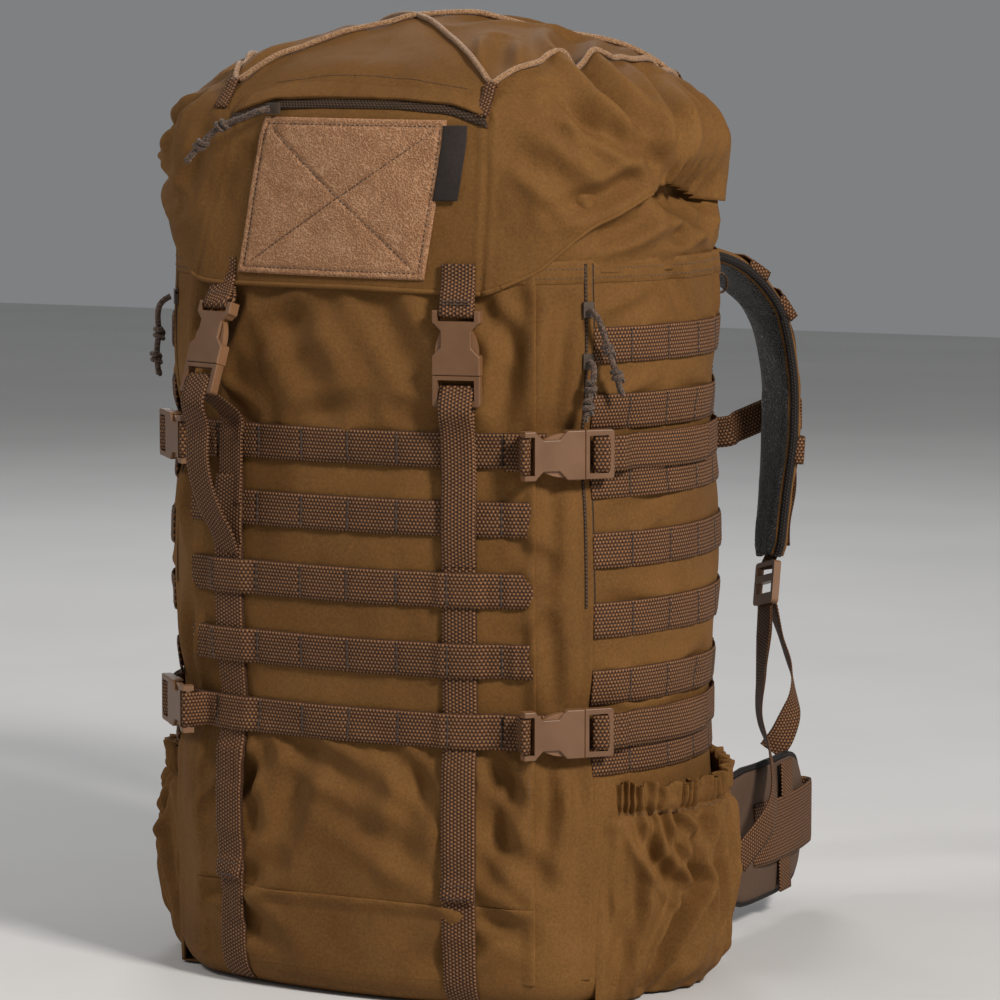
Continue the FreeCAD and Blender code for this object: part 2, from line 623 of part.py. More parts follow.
def laces(dome):
    """Elastic cord laced over the lid through four loops at its corners."""
    def over(x, y, lift):
        ray = Part.makeLine(Vector(x, y, 500), Vector(x, y, 900))
        return (x, y, dome.common(ray).BoundBox.ZMax + lift)

    def span(a, b, count, bow, lift):
        """Points between two corners; bow moves the middle sideways."""
        points = []
        for step in range(1, count):
            share = step / count
            x = a[0] + (b[0] - a[0]) * share
            y = a[1] + (b[1] - a[1]) * share
            x += bow * math.sin(math.pi * share)
            points.append(over(x, y, lift))
        return points

    left_front, right_front, right_back, left_back = LACE_LOOPS
    lift = LACE_RADIUS + 2.6
    raised = lift + 2.4
    route = span(left_back, right_front, 6, 2.0, lift)
    route += [over(96.0, -126.0, raised), over(106.0, -123.0, raised)]
    route += span(right_front, right_back, 6, 12.0, lift)
    first = cord(route, LACE_RADIUS)
    route = span(right_back, left_front, 6, -2.0, lift + 5.0)
    route += [over(-101.0, -122.0, raised), over(-110.0, -118.0, raised)]
    route += span(left_front, left_back, 6, -12.0, lift)
    second = cord(route, LACE_RADIUS)
    write("lid_lace", first, second)
    tabs = []
    for x, y in LACE_LOOPS:
        point = over(x, y, 0.0)
        inward = Vector(-x, -y, 0).normalize()
        at = Vector(*point) - inward * 7.4 + Vector(0, 0, 4.0)
        tabs.append(Part.makeCylinder(4.6, 3.0, at, inward))
    write("lid_loops", *tabs)


# ------------------------------------------------------------------ harness

LOCK_TOP = (131.5, 307.5, 270.0)
LOWER_LINE = (((132.0, 298.0, 229.0), (1, -0.9, 0)),
              ((137.0, 284.0, 195.0), (1, -0.9, 0)),
              ((151.0, 246.0, 160.0), (0.6, -0.7, 0.1)),
              ((177.0, 209.0, 131.0), (0.15, -0.7, 0.6)),
              ((190.0, 174.0, 96.0), (0, -0.3, 0.9)),
              ((181.0, 133.0, 66.0), (0, -0.2, 1)))


def turned(degrees):
    """Level direction, turned from X about the upright."""
    angle = math.radians(degrees)
    return Vector(math.cos(angle), math.sin(angle), 0)


def harness():
    stations = []
    for index, (point, turn) in enumerate(PAD_LINE):
        width = PAD_WIDTH - 22.0 * max(0, index - 7) / 2
        stations.append((point, tuple(turned(turn)), width))
    pad = strap(stations, PAD_THICK)
    write("shoulder_pads", pad, mirrored(pad))
    outer = []
    for index, (point, turn) in enumerate(PAD_LINE[3:], 3):
        before = Vector(*PAD_LINE[index - 1][0])
        after = Vector(*PAD_LINE[min(index + 1, len(PAD_LINE) - 1)][0])
        ahead = (after - before).normalize()
        normal = turned(turn).cross(ahead).normalize()
        centre = Vector(*point) + normal * (PAD_THICK / 2 + 2.6)
        outer.append((tuple(centre), tuple(turned(turn)), WEBBING))
    outer_strip = strap(outer, 1.8)
    write("shoulder_webbing", outer_strip, mirrored(outer_strip))
    down = Vector(0.05, -0.30, -0.95).normalize()
    across = turned(PAD_LINE[-1][1])
    outward = across.cross(down).normalize()
    lock = placed(ladder_lock(), LOCK_TOP, tuple(-down), tuple(outward))
    write("ladder_locks", lock, mirrored(lock))
    lower_strap = strap([(point, across, WEBBING) for point, across in LOWER_LINE], 1.8)
    write("lower_webbing", lower_strap, mirrored(lower_strap))


def ladder_lock():
    """Strap adjuster: a frame with two slots and a lifted thumb tab."""
    frame = box((-16, -3.0, -34), (16, 3.0, 0))
    frame = frame.makeFillet(3.0, [e for e in frame.Edges if abs(e.Length - 6.0) < 1e-6])
    upper = box((-12.8, -5, -10.5), (12.8, 5, -4.0))
    lower = box((-12.8, -5, -25.5), (12.8, 5, -16.5))
    return frame.cut(upper).cut(lower)


CHEST_Y = 332.0
CHEST_Z = 383.0
CHEST_DROP = 366.0


def chest_strap():
    """Two strap halves across the chest with a small side release buckle."""
    sides = []
    for side, inner_end in ((1.0, BUCKLE_FEMALE + 1.6 - 8.0), (-1.0, 72.0)):
        line = ((152.3, CHEST_Y - 10.2, 387.0), (120.5, CHEST_Y + 25.5, 386.0), (112.0, CHEST_Y + 26.0, 384.0),
                (92.0, CHEST_Y + 9.0, 374.0), (82.0, CHEST_Y, 369.0), (inner_end, CHEST_Y, CHEST_DROP))
        sides.append(strap([((side * x, y, z), (0, 0, 1), WEBBING) for x, y, z in line], 1.8))
    right, left = sides
    write("chest_strap_right", right)
    write("chest_strap_left", left)
    frame = ((-8.0, CHEST_Y, CHEST_DROP), (1, 0, 0), (0, 1, 0))
    write("chest_buckle_female", placed(buckle_female(), *frame))
    write("chest_buckle_male", placed(buckle_male(), *frame))


# hip belt webbing, right side: plan of its line, folded back inside the fin
BELT_LINE = ((166.5, 196.0), (171.0, 232.0), (170.0, 278.0), (163.5, 322.0), (152.0, 328.0),
             (143.5, 318.0), (BELT_BUCKLE_X, 297.0))


def flat_strap(line, z, width, thickness):
    """Upright strap along a plan line."""
    points = [Vector(x, y, z - width / 2) for x, y in line]
    sides = ([], [])
    for index, point in enumerate(points):
        ahead = points[min(index + 1, len(points) - 1)] - points[max(index - 1, 0)]
        across = Vector(ahead.y, -ahead.x, 0).normalize() * (thickness / 2)
        sides[0].append(point + across)
        sides[1].append(point - across)
    outline = sides[0] + sides[1][::-1]
    return Part.Face(Part.makePolygon(outline + outline[:1])).extrude(Vector(0, 0, width))


def hip_belt():
    stations = []
    middle = (FIN_LOW + FIN_HIGH) / 2
    for index, (x, y) in enumerate(FIN_LINE):
        height = FIN_HIGH - FIN_LOW
        if index == 0:
            height -= 22.0
        if index == len(FIN_LINE) - 1:
            height -= 34.0
        stations.append(((x, y + 9.0 * (index == 0), middle), (0, 0, 1), height))
    fin = strap(stations, FIN_THICK)
    write("hip_fin_right", fin)
    write("hip_fin_left", mirrored(fin))
    belt = flat_strap(BELT_LINE, middle, BELT_WEBBING, 2.0)
    write("belt_webbing_right", belt)
    write("belt_webbing_left", mirrored(belt))
    big = Matrix()
    big.scale(*BELT_BUCKLE)
    female = buckle_female().transformGeometry(big)
    male = buckle_male().transformGeometry(big)
    write("belt_buckle_female", placed(female, (BELT_BUCKLE_X, 233.0, middle), (0, 1, 0), (-1, 0, 0)))
    male = placed(male, (BELT_BUCKLE_X, 262.0, middle), (0, -1, 0), (-1, 0, 0))
    write("belt_buckle_male", mirrored(male))


def main():
    os.makedirs("parts", exist_ok=True)
    panels()
    collar()
    inside()
    back()
    pockets()
    webbing()
    buckles()
    side_zips()
    lid()
    harness()
    chest_strap()
    hip_belt()


main()
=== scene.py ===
import math

import bpy
import numpy as np
from mathutils import Matrix, Vector
from mathutils.bvhtree import BVHTree


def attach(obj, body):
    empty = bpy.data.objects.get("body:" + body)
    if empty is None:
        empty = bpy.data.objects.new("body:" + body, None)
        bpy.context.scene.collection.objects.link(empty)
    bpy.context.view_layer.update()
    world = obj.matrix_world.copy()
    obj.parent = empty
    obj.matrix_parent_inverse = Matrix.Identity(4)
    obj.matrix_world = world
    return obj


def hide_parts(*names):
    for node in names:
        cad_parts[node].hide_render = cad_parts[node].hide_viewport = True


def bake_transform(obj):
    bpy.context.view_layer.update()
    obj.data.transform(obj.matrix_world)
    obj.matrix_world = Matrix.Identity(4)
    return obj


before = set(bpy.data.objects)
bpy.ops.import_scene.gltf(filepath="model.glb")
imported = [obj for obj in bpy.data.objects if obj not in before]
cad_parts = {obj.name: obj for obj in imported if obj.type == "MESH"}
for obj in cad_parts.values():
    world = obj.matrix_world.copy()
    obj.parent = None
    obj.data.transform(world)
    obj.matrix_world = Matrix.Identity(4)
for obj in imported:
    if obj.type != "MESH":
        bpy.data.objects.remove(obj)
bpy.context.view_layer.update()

# Lengths below are in millimetres unless a name ends in _M; meshes are made in metres.
MM = 0.001
HEM_TOP = 527.0                 # top of the sewn panels
BASE_ROUND = 22.0               # radius of the edge under the bag
FRONT_RADIUS = 431.0            # of the front's arc in plan
WEBBING = 25.0
STRAP_WIDTH = WEBBING - 0.6     # a strap's drawn width, clear of its buckle's walls
STRAP_THICK = 1.6
# heights of the middles of the webbing rows and of the compression straps
FRONT_ROWS = (200.0, 250.0, 300.0, 350.0, 398.0)
SIDE_ROWS = (180.0, 230.0, 278.0, 327.0, 376.0, 424.0, 471.0)
COMPRESSION_ROWS = (200.0, 396.0)
STRAP_X = (84.0, -100.0)        # places of the right and left front strap


# ------------------------------------------------------------------ small tools

def smooth_step(value, low, high):
    share = np.clip((np.asarray(value, float) - low) / (high - low), 0.0, 1.0)
    return share * share * (3.0 - 2.0 * share)


def hump(value, centre, width):
    return np.exp(-((np.asarray(value, float) - centre) / width) ** 2)


def unit(vectors):
    return vectors / np.maximum(np.linalg.norm(vectors, axis=-1, keepdims=True), 1e-9)


def floats(*values):
    """The values as float arrays of one shape."""
    return np.broadcast_arrays(*(np.asarray(value, float) for value in values))


def with_height(xy, z):
    """Plan points or directions with a third coordinate."""
    return np.concatenate([xy, np.broadcast_to(z, xy.shape[:-1])[..., None]], -1)


def arc_lengths(points):
    """Length along a line of points, at each of them."""
    steps = np.linalg.norm(np.diff(points, axis=0), axis=1)
    return np.concatenate([[0.0], np.cumsum(steps)])


def along_line(line, run, at):
    """Points of a line at given lengths along it."""
    return np.stack([np.interp(at, run, line[:, k]) for k in range(line.shape[1])], -1)


class Noise:
    """Smooth value noise on a plane, the same each run for the same seed."""

    def __init__(self, seed):
        self.table = np.random.RandomState(seed).rand(64, 64) * 2.0 - 1.0

    def __call__(self, a, b):
        a, b = floats(a, b)
        ia = np.floor(a).astype(int)
        ib = np.floor(b).astype(int)
        fa = a - ia
        fb = b - ib
        fa = fa * fa * (3 - 2 * fa)
        fb = fb * fb * (3 - 2 * fb)
        table = self.table
        low = table[ia % 64, ib % 64] * (1 - fa) + table[(ia + 1) % 64, ib % 64] * fa
        high = table[ia % 64, (ib + 1) % 64] * (1 - fa) + table[(ia + 1) % 64, (ib + 1) % 64] * fa
        return low * (1 - fb) + high * fb


def add_object(name, data):
    piece = bpy.data.objects.new(name, data)
    bpy.context.scene.collection.objects.link(piece)
    return piece


def lay_uvs(mesh, uvs):
    """Give every face corner the (u, v) of its vertex."""
    layer = mesh.uv_layers.get("cloth") or mesh.uv_layers.new(name="cloth")
    loops = np.empty(len(mesh.loops), np.int32)
    mesh.loops.foreach_get("vertex_index", loops)
    layer.data.foreach_set("uv", np.asarray(uvs, np.float32)[loops].ravel())


def add_mesh(name, points, faces, material, uvs=None):
    """Object from points in millimetres; uvs is one (u, v) per point, in metres."""
    mesh = bpy.data.meshes.new(name)
    mesh.from_pydata((np.asarray(points, float) * MM).tolist(), [], faces)
    if uvs is not None:
        lay_uvs(mesh, uvs)
    mesh.polygons.foreach_set("use_smooth", [True] * len(mesh.polygons))
    mesh.validate()
    mesh.update()
    piece = add_object(name, mesh)
    piece.data.materials.append(material)
    return piece


def ride_slot(piece, body):
    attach(piece, body)
    return piece


def mirror_mesh(name, source):
    """Copy of a piece on the bag's other side."""
    mesh = source.data.copy()
    places = np.empty(len(mesh.vertices) * 3, np.float32)
    mesh.vertices.foreach_get("co", places)
    places[0::3] *= -1
    mesh.vertices.foreach_set("co", places)
    mesh.flip_normals()
    return add_object(name, mesh)


def both_sides(right, body="pack"):
    """Fasten a right hand piece and its mirrored copy to the same body; returns the copy."""
    left = mirror_mesh(right.name.replace("_right", "_left"), right)
    ride_slot(right, body)
    return ride_slot(left, body)


def metre_uvs(u, v):
    """One (u, v) in metres per point of a grid, from lengths in millimetres."""
    return np.stack([u, v], -1).reshape(-1, 2) * MM


def grid_faces(rows, columns, wrap_rows=False, wrap_columns=False, start=0, flip=False):
    """Quads over a grid of points numbered row by row."""
    last_row = rows if wrap_rows else rows - 1
    last_column = columns if wrap_columns else columns - 1
    r, c = np.meshgrid(np.arange(last_row), np.arange(last_column), indexing="ij")
    r2 = (r + 1) % rows
    c2 = (c + 1) % columns
    quads = np.stack([r * columns + c, r * columns + c2, r2 * columns + c2, r2 * columns + c], -1)
    quads = quads.reshape(-1, 4) + start
    if flip:
        quads = quads[:, ::-1]
    return quads.tolist()


def two_sheets(outer, inner, flip=False):
    """Points and faces of two sheets that both go round the bag row by row, back to back."""
    rows, columns = outer.shape[:2]
    count = rows * columns
    faces = grid_faces(rows, columns, wrap_columns=True, flip=flip)
    faces += grid_faces(rows, columns, wrap_columns=True, start=count, flip=not flip)
    return np.concatenate([outer.reshape(-1, 3), inner.reshape(-1, 3)]), faces


def rim_faces(start, columns, count, flip=False):
    """Quads from the row of the outer sheet that begins at start to that row of the inner one."""
    faces = []
    for k in range(start, start + columns):
        after = start + (k - start + 1) % columns
        quad = (k, k + count, after + count, after)
        faces.append((quad[0], *quad[:0:-1]) if flip else quad)
    return faces


def slab(name, outer, inner, material, uv_u, uv_v):
    """Closed thin piece between two grids of points of the same shape."""
    rows, columns = outer.shape[:2]
    count = rows * columns
    points = np.concatenate([outer.reshape(-1, 3), inner.reshape(-1, 3)])
    faces = grid_faces(rows, columns) + grid_faces(rows, columns, start=count, flip=True)
    index = np.arange(count).reshape(rows, columns)
    loop = np.concatenate([index[0, :-1], index[:-1, -1], index[-1, :0:-1], index[:0:-1, 0]])
    turned = np.roll(loop, -1)
    faces += [(int(a), int(a + count), int(b + count), int(b)) for a, b in zip(loop, turned)]
    uvs = metre_uvs(uv_u, uv_v)
    return add_mesh(name, points, faces, material, np.concatenate([uvs, uvs]))


def ribbon(name, centre, across, width=STRAP_WIDTH, thick=STRAP_THICK, material=None, columns=7):
    """Flat webbing along a centre line; across is its width direction at each point."""
    centre = np.asarray(centre, float)
    ahead = unit(np.gradient(centre, axis=0))
    across = np.broadcast_to(np.asarray(across, float), centre.shape)
    side = unit(across - ahead * np.sum(across * ahead, axis=1, keepdims=True))
    normal = np.cross(ahead, side)
    half = np.broadcast_to(np.asarray(width, float) / 2.0, (len(centre),))
    steps = np.linspace(-1.0, 1.0, columns)
    offset = side[:, None] * steps[None, :, None] * half[:, None, None]
    edge = 1.0 - 0.35 * smooth_step(np.abs(steps), 0.86, 1.0)
    body = centre[:, None] + offset
    deep = normal[:, None] * (thick / 2.0) * edge[None, :, None]
    run = np.repeat(arc_lengths(centre)[:, None], columns, axis=1)
    cross_run = steps[None, :] * half[:, None]
    return slab(name, body + deep, body - deep, material or STRAP, run, cross_run)


def spline(points, count):
    """Catmull-Rom curve through a few given points, evenly resampled."""
    points = np.asarray(points, float)
    padded = np.vstack([2 * points[0] - points[1], points, 2 * points[-1] - points[-2]])
    pieces = []
    for i in range(1, len(padded) - 2):
        t = np.linspace(0, 1, 40, endpoint=False)[:, None]
        a, b, c, d = padded[i - 1], padded[i], padded[i + 1], padded[i + 2]
        pieces.append(0.5 * ((2 * b) + (c - a) * t + (2 * a - 5 * b + 4 * c - d) * t ** 2
                             + (3 * b - a - 3 * c + d) * t ** 3))
    dense = np.vstack(pieces + [points[-1:]])
    run = arc_lengths(dense[:, :3])
    return along_line(dense, run, np.linspace(0, run[-1], count))


def rod(name, points, radius, material, sides=8, closed=False):
    """Round tube along points, closed at its ends with flat caps."""
    points = np.asarray(points, float)
    count = len(points)
    ahead = unit(np.gradient(points, axis=0))
    if closed:
        ahead = unit(np.roll(points, -1, 0) - np.roll(points, 1, 0))
    helper = np.where(np.abs(ahead[:, 2:3]) > 0.9, [[1.0, 0, 0]], [[0, 0, 1.0]])
    one = unit(np.cross(helper, ahead))
    two = np.cross(ahead, one)
    angle = np.linspace(0, 2 * math.pi, sides, endpoint=False)
    radius = np.broadcast_to(np.asarray(radius, float), (count,))
    circle = one[:, None] * np.cos(angle)[None, :, None] + two[:, None] * np.sin(angle)[None, :, None]
    ring = points[:, None] + circle * radius[:, None, None]
    faces = grid_faces(count, sides, wrap_rows=closed, wrap_columns=True)
    if not closed:
        faces.append(list(range(sides)))
        faces.append([(count - 1) * sides + k for k in reversed(range(sides))])
    run = np.repeat(arc_lengths(points)[:, None], sides, axis=1)
    around = np.repeat((angle * radius.mean())[None, :], count, axis=0)
    return add_mesh(name, ring.reshape(-1, 3), faces, material, metre_uvs(run, around))


def stitches(name, paths, material, pitch=3.3, length=2.3, radius=0.32, lift=0.12):
    """Sewing thread along (points, normals) paths: one short raised dash per stitch."""
    points = []
    faces = []
    for line, normals in paths:
        line = np.asarray(line, float)
        normals = np.broadcast_to(np.asarray(normals, float), line.shape)
        run = arc_lengths(line)
        starts = np.arange(pitch / 2, run[-1] - pitch / 2, pitch)
        middle = along_line(line, run, starts)
        normal = unit(along_line(normals, run, starts))
        ahead = unit(along_line(line, run, starts + 0.5) - middle)
        side = np.cross(normal, ahead)
        for m, a, n, s in zip(middle, ahead, normal, side):
            base = len(points)
            for share, size in ((-0.5, 0.35), (-0.28, 1.0), (0.28, 1.0), (0.5, 0.35)):
                at = m + a * length * share + n * (lift - (abs(share) == 0.5) * 0.25)
                for up, out in ((1, 0), (0, 1), (-1, 0), (0, -1)):
                    points.append(at + (n * up * 0.8 + s * out) * radius * size)
            for ring in range(3):
                for k in range(4):
                    faces.append((base + ring * 4 + k, base + ring * 4 + (k + 1) % 4,
                                  base + ring * 4 + 4 + (k + 1) % 4, base + ring * 4 + 4 + k))
            faces.append((base + 3, base + 2, base + 1, base))
            faces.append((base + 12, base + 13, base + 14, base + 15))
    return add_mesh(name, points, faces, material)


def bar_tacks(name, bars):
    """Close zigzag stitching over webbing."""
    marks = stitches(name, bars, THREAD_DARK, pitch=1.0, length=0.9, radius=0.75)
    return ride_slot(marks, "pack")


# ------------------------------------------------------------------ materials

BLACK = (0.0, 0.0, 0.0)
WHITE = (1.0, 1.0, 1.0)

class Nodes:
    """Short names for building one material's node tree."""

    def __init__(self, name):
        self.material = bpy.data.materials.new(name)
        self.material.use_nodes = True
        self.tree = self.material.node_tree
        self.shader = self.tree.nodes["Principled BSDF"]

    def add(self, kind, inputs=None, **settings):
        node = self.tree.nodes.new(kind)
        for key, value in settings.items():
            setattr(node, key, value)
        for key, value in (inputs or {}).items():
            self.feed(node.inputs[key], value)
        return node

    def feed(self, socket, value):
        """Link another node's output to a socket, or set the socket's own value."""
        if isinstance(value, bpy.types.NodeSocket):
            self.tree.links.new(value, socket)
        elif socket.type == "RGBA":
            socket.default_value = (*value, 1.0)
        else:
            socket.default_value = value

    def math(self, operation, a, b=0.0, c=0.0):
        return self.add("ShaderNodeMath", {0: a, 1: b, 2: c}, operation=operation).outputs[0]

    def noise(self, vector, scale, detail=3.0, roughness=0.5):
        node = self.add("ShaderNodeTexNoise", {"Vector": vector, "Scale": scale, "Detail": detail,
                                               "Roughness": roughness})
        return node.outputs["Fac"]

    def ramp(self, fac, stops):
        node = self.add("ShaderNodeValToRGB", {"Fac": fac})
        elements = node.color_ramp.elements
        while len(elements) < len(stops):
            elements.new(0.5)
        for element, (position, colour) in zip(elements, stops):
            element.position = position
            element.color = (*colour, 1.0)
        return node.outputs["Color"]

    def mix(self, fac, a, b):
        node = self.add("ShaderNodeMix", data_type="RGBA")
        for index, value in ((0, fac), (6, a), (7, b)):
            self.feed(node.inputs[index], value)
        return node.outputs[2]

    def finish(self, colour, roughness, height=None, distance=0.0004, strength=0.6, **fixed):
        """Feed the shader; fixed names sockets of its own, with _ for each space."""
        self.feed(self.shader.inputs["Base Color"], colour)
        self.feed(self.shader.inputs["Roughness"], roughness)
        if height is not None:
            bump = self.add("ShaderNodeBump", {"Height": height, "Strength": strength,
                                               "Distance": distance})
            self.feed(self.shader.inputs["Normal"], bump.outputs["Normal"])
        for key, value in fixed.items():
            self.feed(self.shader.inputs[key.replace("_", " ")], value)
        return self.material


def object_position(n):
    return n.add("ShaderNodeTexCoord").outputs["Object"]


def cloth_uv(n):
    return n.add("ShaderNodeUVMap", uv_map="cloth").outputs[0]


def worn_edges(n, low, high):
    """White on sharp outward edges, black on flat surface."""
    point = n.add("ShaderNodeNewGeometry").outputs["Pointiness"]
    return n.ramp(point, ((low, BLACK), (high, WHITE)))


def cloth_material(name, dark, middle, light, thread_mm=0.62, wear=0.35):
    """Coated plain weave: fine crossing threads, slubs, blotches and pale worn folds."""
    n = Nodes(name)
    uv = cloth_uv(n)
    parts = n.add("ShaderNodeSeparateXYZ", {0: uv})
    turn = math.pi / (thread_mm * MM)
    warp = n.math("SINE", n.math("MULTIPLY", parts.outputs[0], turn))
    weft = n.math("SINE", n.math("MULTIPLY", parts.outputs[1], turn))
    weave = n.math("ABSOLUTE", n.math("MULTIPLY", warp, weft))
    slub_at = n.add("ShaderNodeMapping", {0: uv, "Scale": (1.0, 0.25, 1.0)}).outputs[0]
    slub = n.noise(slub_at, 1500.0, 2.0)
    place = object_position(n)
    fine = n.noise(place, 480.0, 4.0, 0.65)
    broad = n.noise(place, 9.0, 4.0, 0.55)
    tone = n.math("MULTIPLY_ADD", broad, 0.45, n.math("MULTIPLY", fine, 0.42))
    tone = n.math("MULTIPLY_ADD", weave, 0.12, tone)
    tone = n.math("MULTIPLY_ADD", slub, 0.14, tone)
    colour = n.ramp(tone, ((0.36, dark), (0.56, middle), (0.82, light)))
    rub = n.math("MULTIPLY", worn_edges(n, 0.49, 0.56), n.math("MULTIPLY", n.noise(place, 160.0, 3.0), wear))
    colour = n.mix(rub, colour, light)
    height = n.math("ADD", n.math("MULTIPLY", weave, 0.5), n.math("MULTIPLY", fine, 0.9))
    rough = n.math("MULTIPLY_ADD", fine, 0.2, 0.68)
    return n.finish(colour, rough, height, 0.00035, 0.55, Sheen_Weight=0.12, Sheen_Roughness=0.45,
                    Sheen_Tint=light, Specular_IOR_Level=0.2)


def webbing_material(name, dark, middle, light):
    """Ribbed webbing: rows of short wavy floats, lighter on their raised crests and darker in the grooves
    between them, which is a painted highlight and painted shade, with random grain and blotches.
    """
    n = Nodes(name)
    uv = cloth_uv(n)
    parts = n.add("ShaderNodeSeparateXYZ", {0: uv})
    along = n.math("DIVIDE", parts.outputs[0], 2.7 * MM)
    across = n.math("DIVIDE", parts.outputs[1], 2.5 * MM)
    row = n.math("FLOOR", across)
    shifted = n.math("MULTIPLY_ADD", row, 0.5, along)
    wave = n.math("SINE", n.math("MULTIPLY", shifted, 2 * math.pi))
    bent = n.math("MULTIPLY_ADD", wave, 0.15, across)
    rib = n.math("ABSOLUTE", n.math("SINE", n.math("MULTIPLY", bent, math.pi)))
    floats = n.math("MULTIPLY_ADD", wave, 0.32, 0.68)
    height = n.math("MULTIPLY", n.math("POWER", rib, 0.7), floats)
    place = object_position(n)
    grain = n.noise(place, 900.0, 2.0)
    blotch = n.noise(place, 14.0, 3.0)
    # the colour follows the ribs' height: a painted highlight on the crests and painted shade in the grooves
    tone = n.math("MULTIPLY_ADD", grain, 0.4, n.math("MULTIPLY", height, 0.72))
    tone = n.math("MULTIPLY_ADD", blotch, 0.12, tone)
    colour = n.ramp(tone, ((0.30, dark), (0.60, middle), (0.95, light)))
    full = n.math("MULTIPLY_ADD", grain, 0.25, height)
    return n.finish(colour, 0.72, full, 0.0009, 0.8, Sheen_Weight=0.06, Sheen_Roughness=0.4,
                    Sheen_Tint=light, Specular_IOR_Level=0.25)


def plastic_material(name, dark, light, roughness=0.42):
    """Moulded plastic with a fine spark texture and dulled high edges."""
    n = Nodes(name)
    place = object_position(n)
    broad = n.noise(place, 45.0, 3.0)
    fine = n.noise(place, 2600.0, 2.0)
    colour = n.ramp(broad, ((0.3, dark), (0.7, light)))
    pale = tuple(min(1.0, c * 1.45) for c in light)
    colour = n.mix(n.math("MULTIPLY", worn_edges(n, 0.5, 0.6), 0.5), colour, pale)
    rough = n.math("MULTIPLY_ADD", broad, 0.2, roughness - 0.1)
    return n.finish(colour, rough, fine, 0.00012, 0.3, Specular_IOR_Level=0.5)


def loop_material(name, dark, middle, light):
    """Loop pile: crowded tiny curls."""
    n = Nodes(name)
    place = object_position(n)
    curl = n.add("ShaderNodeTexVoronoi", {"Vector": place, "Scale": 720.0}).outputs["Distance"]
    patches = n.noise(place, 60.0, 5.0, 0.7)
    fuzz = n.noise(place, 1300.0, 3.0)
    tone = n.math("MULTIPLY_ADD", curl, 0.5, n.math("MULTIPLY", patches, 0.5))
    tone = n.math("MULTIPLY_ADD", fuzz, 0.3, tone)
    colour = n.ramp(tone, ((0.35, dark), (0.6, middle), (0.85, light)))
    return n.finish(colour, 0.9, n.math("ADD", curl, fuzz), 0.0011, 0.8, Sheen_Weight=0.5,
                    Sheen_Roughness=0.4, Sheen_Tint=light, Specular_IOR_Level=0.15)


def mesh_material(name, dark, light):
    """Spacer mesh: a close grid of small holes in dark yarn."""
    n = Nodes(name)
    uv = cloth_uv(n)
    cells = n.add("ShaderNodeTexVoronoi", {"Vector": uv, "Scale": 340.0},
                  feature="DISTANCE_TO_EDGE").outputs["Distance"]
    walls = n.ramp(cells, ((0.05, WHITE), (0.22, BLACK)))
    fine = n.noise(object_position(n), 1100.0, 2.0)
    colour = n.mix(n.math("MULTIPLY", walls, fine), dark, light)
    return n.finish(colour, 0.85, walls, 0.0012, 0.9, Sheen_Weight=0.3, Specular_IOR_Level=0.2)


def braid_material(name, dark, middle, light, strand=1.3):
    """Braided cord: crossing diagonal strands."""
    n = Nodes(name)
    place = object_position(n)
    turns = n.add("ShaderNodeTexVoronoi", {"Vector": place, "Scale": 1000.0 / strand},
                  distance="MANHATTAN").outputs["Distance"]
    grain = n.noise(place, 1500.0, 2.0)
    tone = n.math("MULTIPLY_ADD", grain, 0.5, n.math("MULTIPLY", turns, 0.7))
    colour = n.ramp(tone, ((0.3, dark), (0.6, middle), (0.9, light)))
    return n.finish(colour, 0.7, turns, 0.0006, 0.8, Sheen_Weight=0.2, Specular_IOR_Level=0.35)


def metal_material(name, colour):
    """Drawn metal with fine scratches."""
    n = Nodes(name)
    scratch = n.noise(object_position(n), 300.0, 4.0, 0.7)
    shade = n.ramp(scratch, ((0.3, tuple(c * 0.8 for c in colour)), (0.7, colour)))
    rough = n.math("MULTIPLY_ADD", scratch, 0.2, 0.25)
    return n.finish(shade, rough, scratch, 0.0001, 0.2, Metallic=1.0)


CLOTH = cloth_material("coated cloth", (0.080, 0.0345, 0.0075), (0.144, 0.064, 0.0150),
                       (0.235, 0.114, 0.032))
CLOTH_DARK = cloth_material("inner cloth", (0.065, 0.034, 0.013), (0.10, 0.055, 0.022),
                            (0.15, 0.085, 0.038), wear=0.1)
LAMINATE = cloth_material("fin laminate", (0.085, 0.049, 0.031), (0.105, 0.062, 0.041),
                          (0.14, 0.09, 0.062), thread_mm=0.3, wear=0.4)
TAG = cloth_material("woven tag", (0.014, 0.010, 0.009), (0.024, 0.018, 0.016),
                     (0.045, 0.034, 0.030), thread_mm=0.4, wear=0.4)
STRAP = webbing_material("webbing", (0.013, 0.0055, 0.003), (0.074, 0.030, 0.0115), (0.29, 0.138, 0.058))
BINDING = webbing_material("black binding", (0.004, 0.003, 0.003), (0.014, 0.010, 0.009),
                           (0.035, 0.028, 0.025))
ZIP = webbing_material("zip tape", (0.014, 0.008, 0.005), (0.040, 0.022, 0.011), (0.08, 0.045, 0.025))
BUCKLE = plastic_material("buckle plastic", (0.125, 0.058, 0.025), (0.158, 0.076, 0.034))
DARK_PLASTIC = plastic_material("dark plastic", (0.03, 0.02, 0.014), (0.05, 0.034, 0.024))
SHEET = plastic_material("frame sheet", (0.012, 0.012, 0.012), (0.02, 0.02, 0.02), 0.5)
LOOP = loop_material("loop tape", (0.20, 0.093, 0.043), (0.30, 0.148, 0.074), (0.44, 0.25, 0.14))
MESH = mesh_material("spacer mesh", (0.004, 0.004, 0.004), (0.030, 0.027, 0.025))
LACE = braid_material("elastic lace", (0.09, 0.042, 0.016), (0.20, 0.10, 0.042), (0.36, 0.20, 0.095))
DARK_CORD = braid_material("pull cord", (0.003, 0.002, 0.002), (0.020, 0.012, 0.008), (0.12, 0.070, 0.045))
THREAD = braid_material("sewing thread", (0.045, 0.022, 0.008), (0.085, 0.044, 0.017),
                        (0.14, 0.08, 0.035), 0.6)
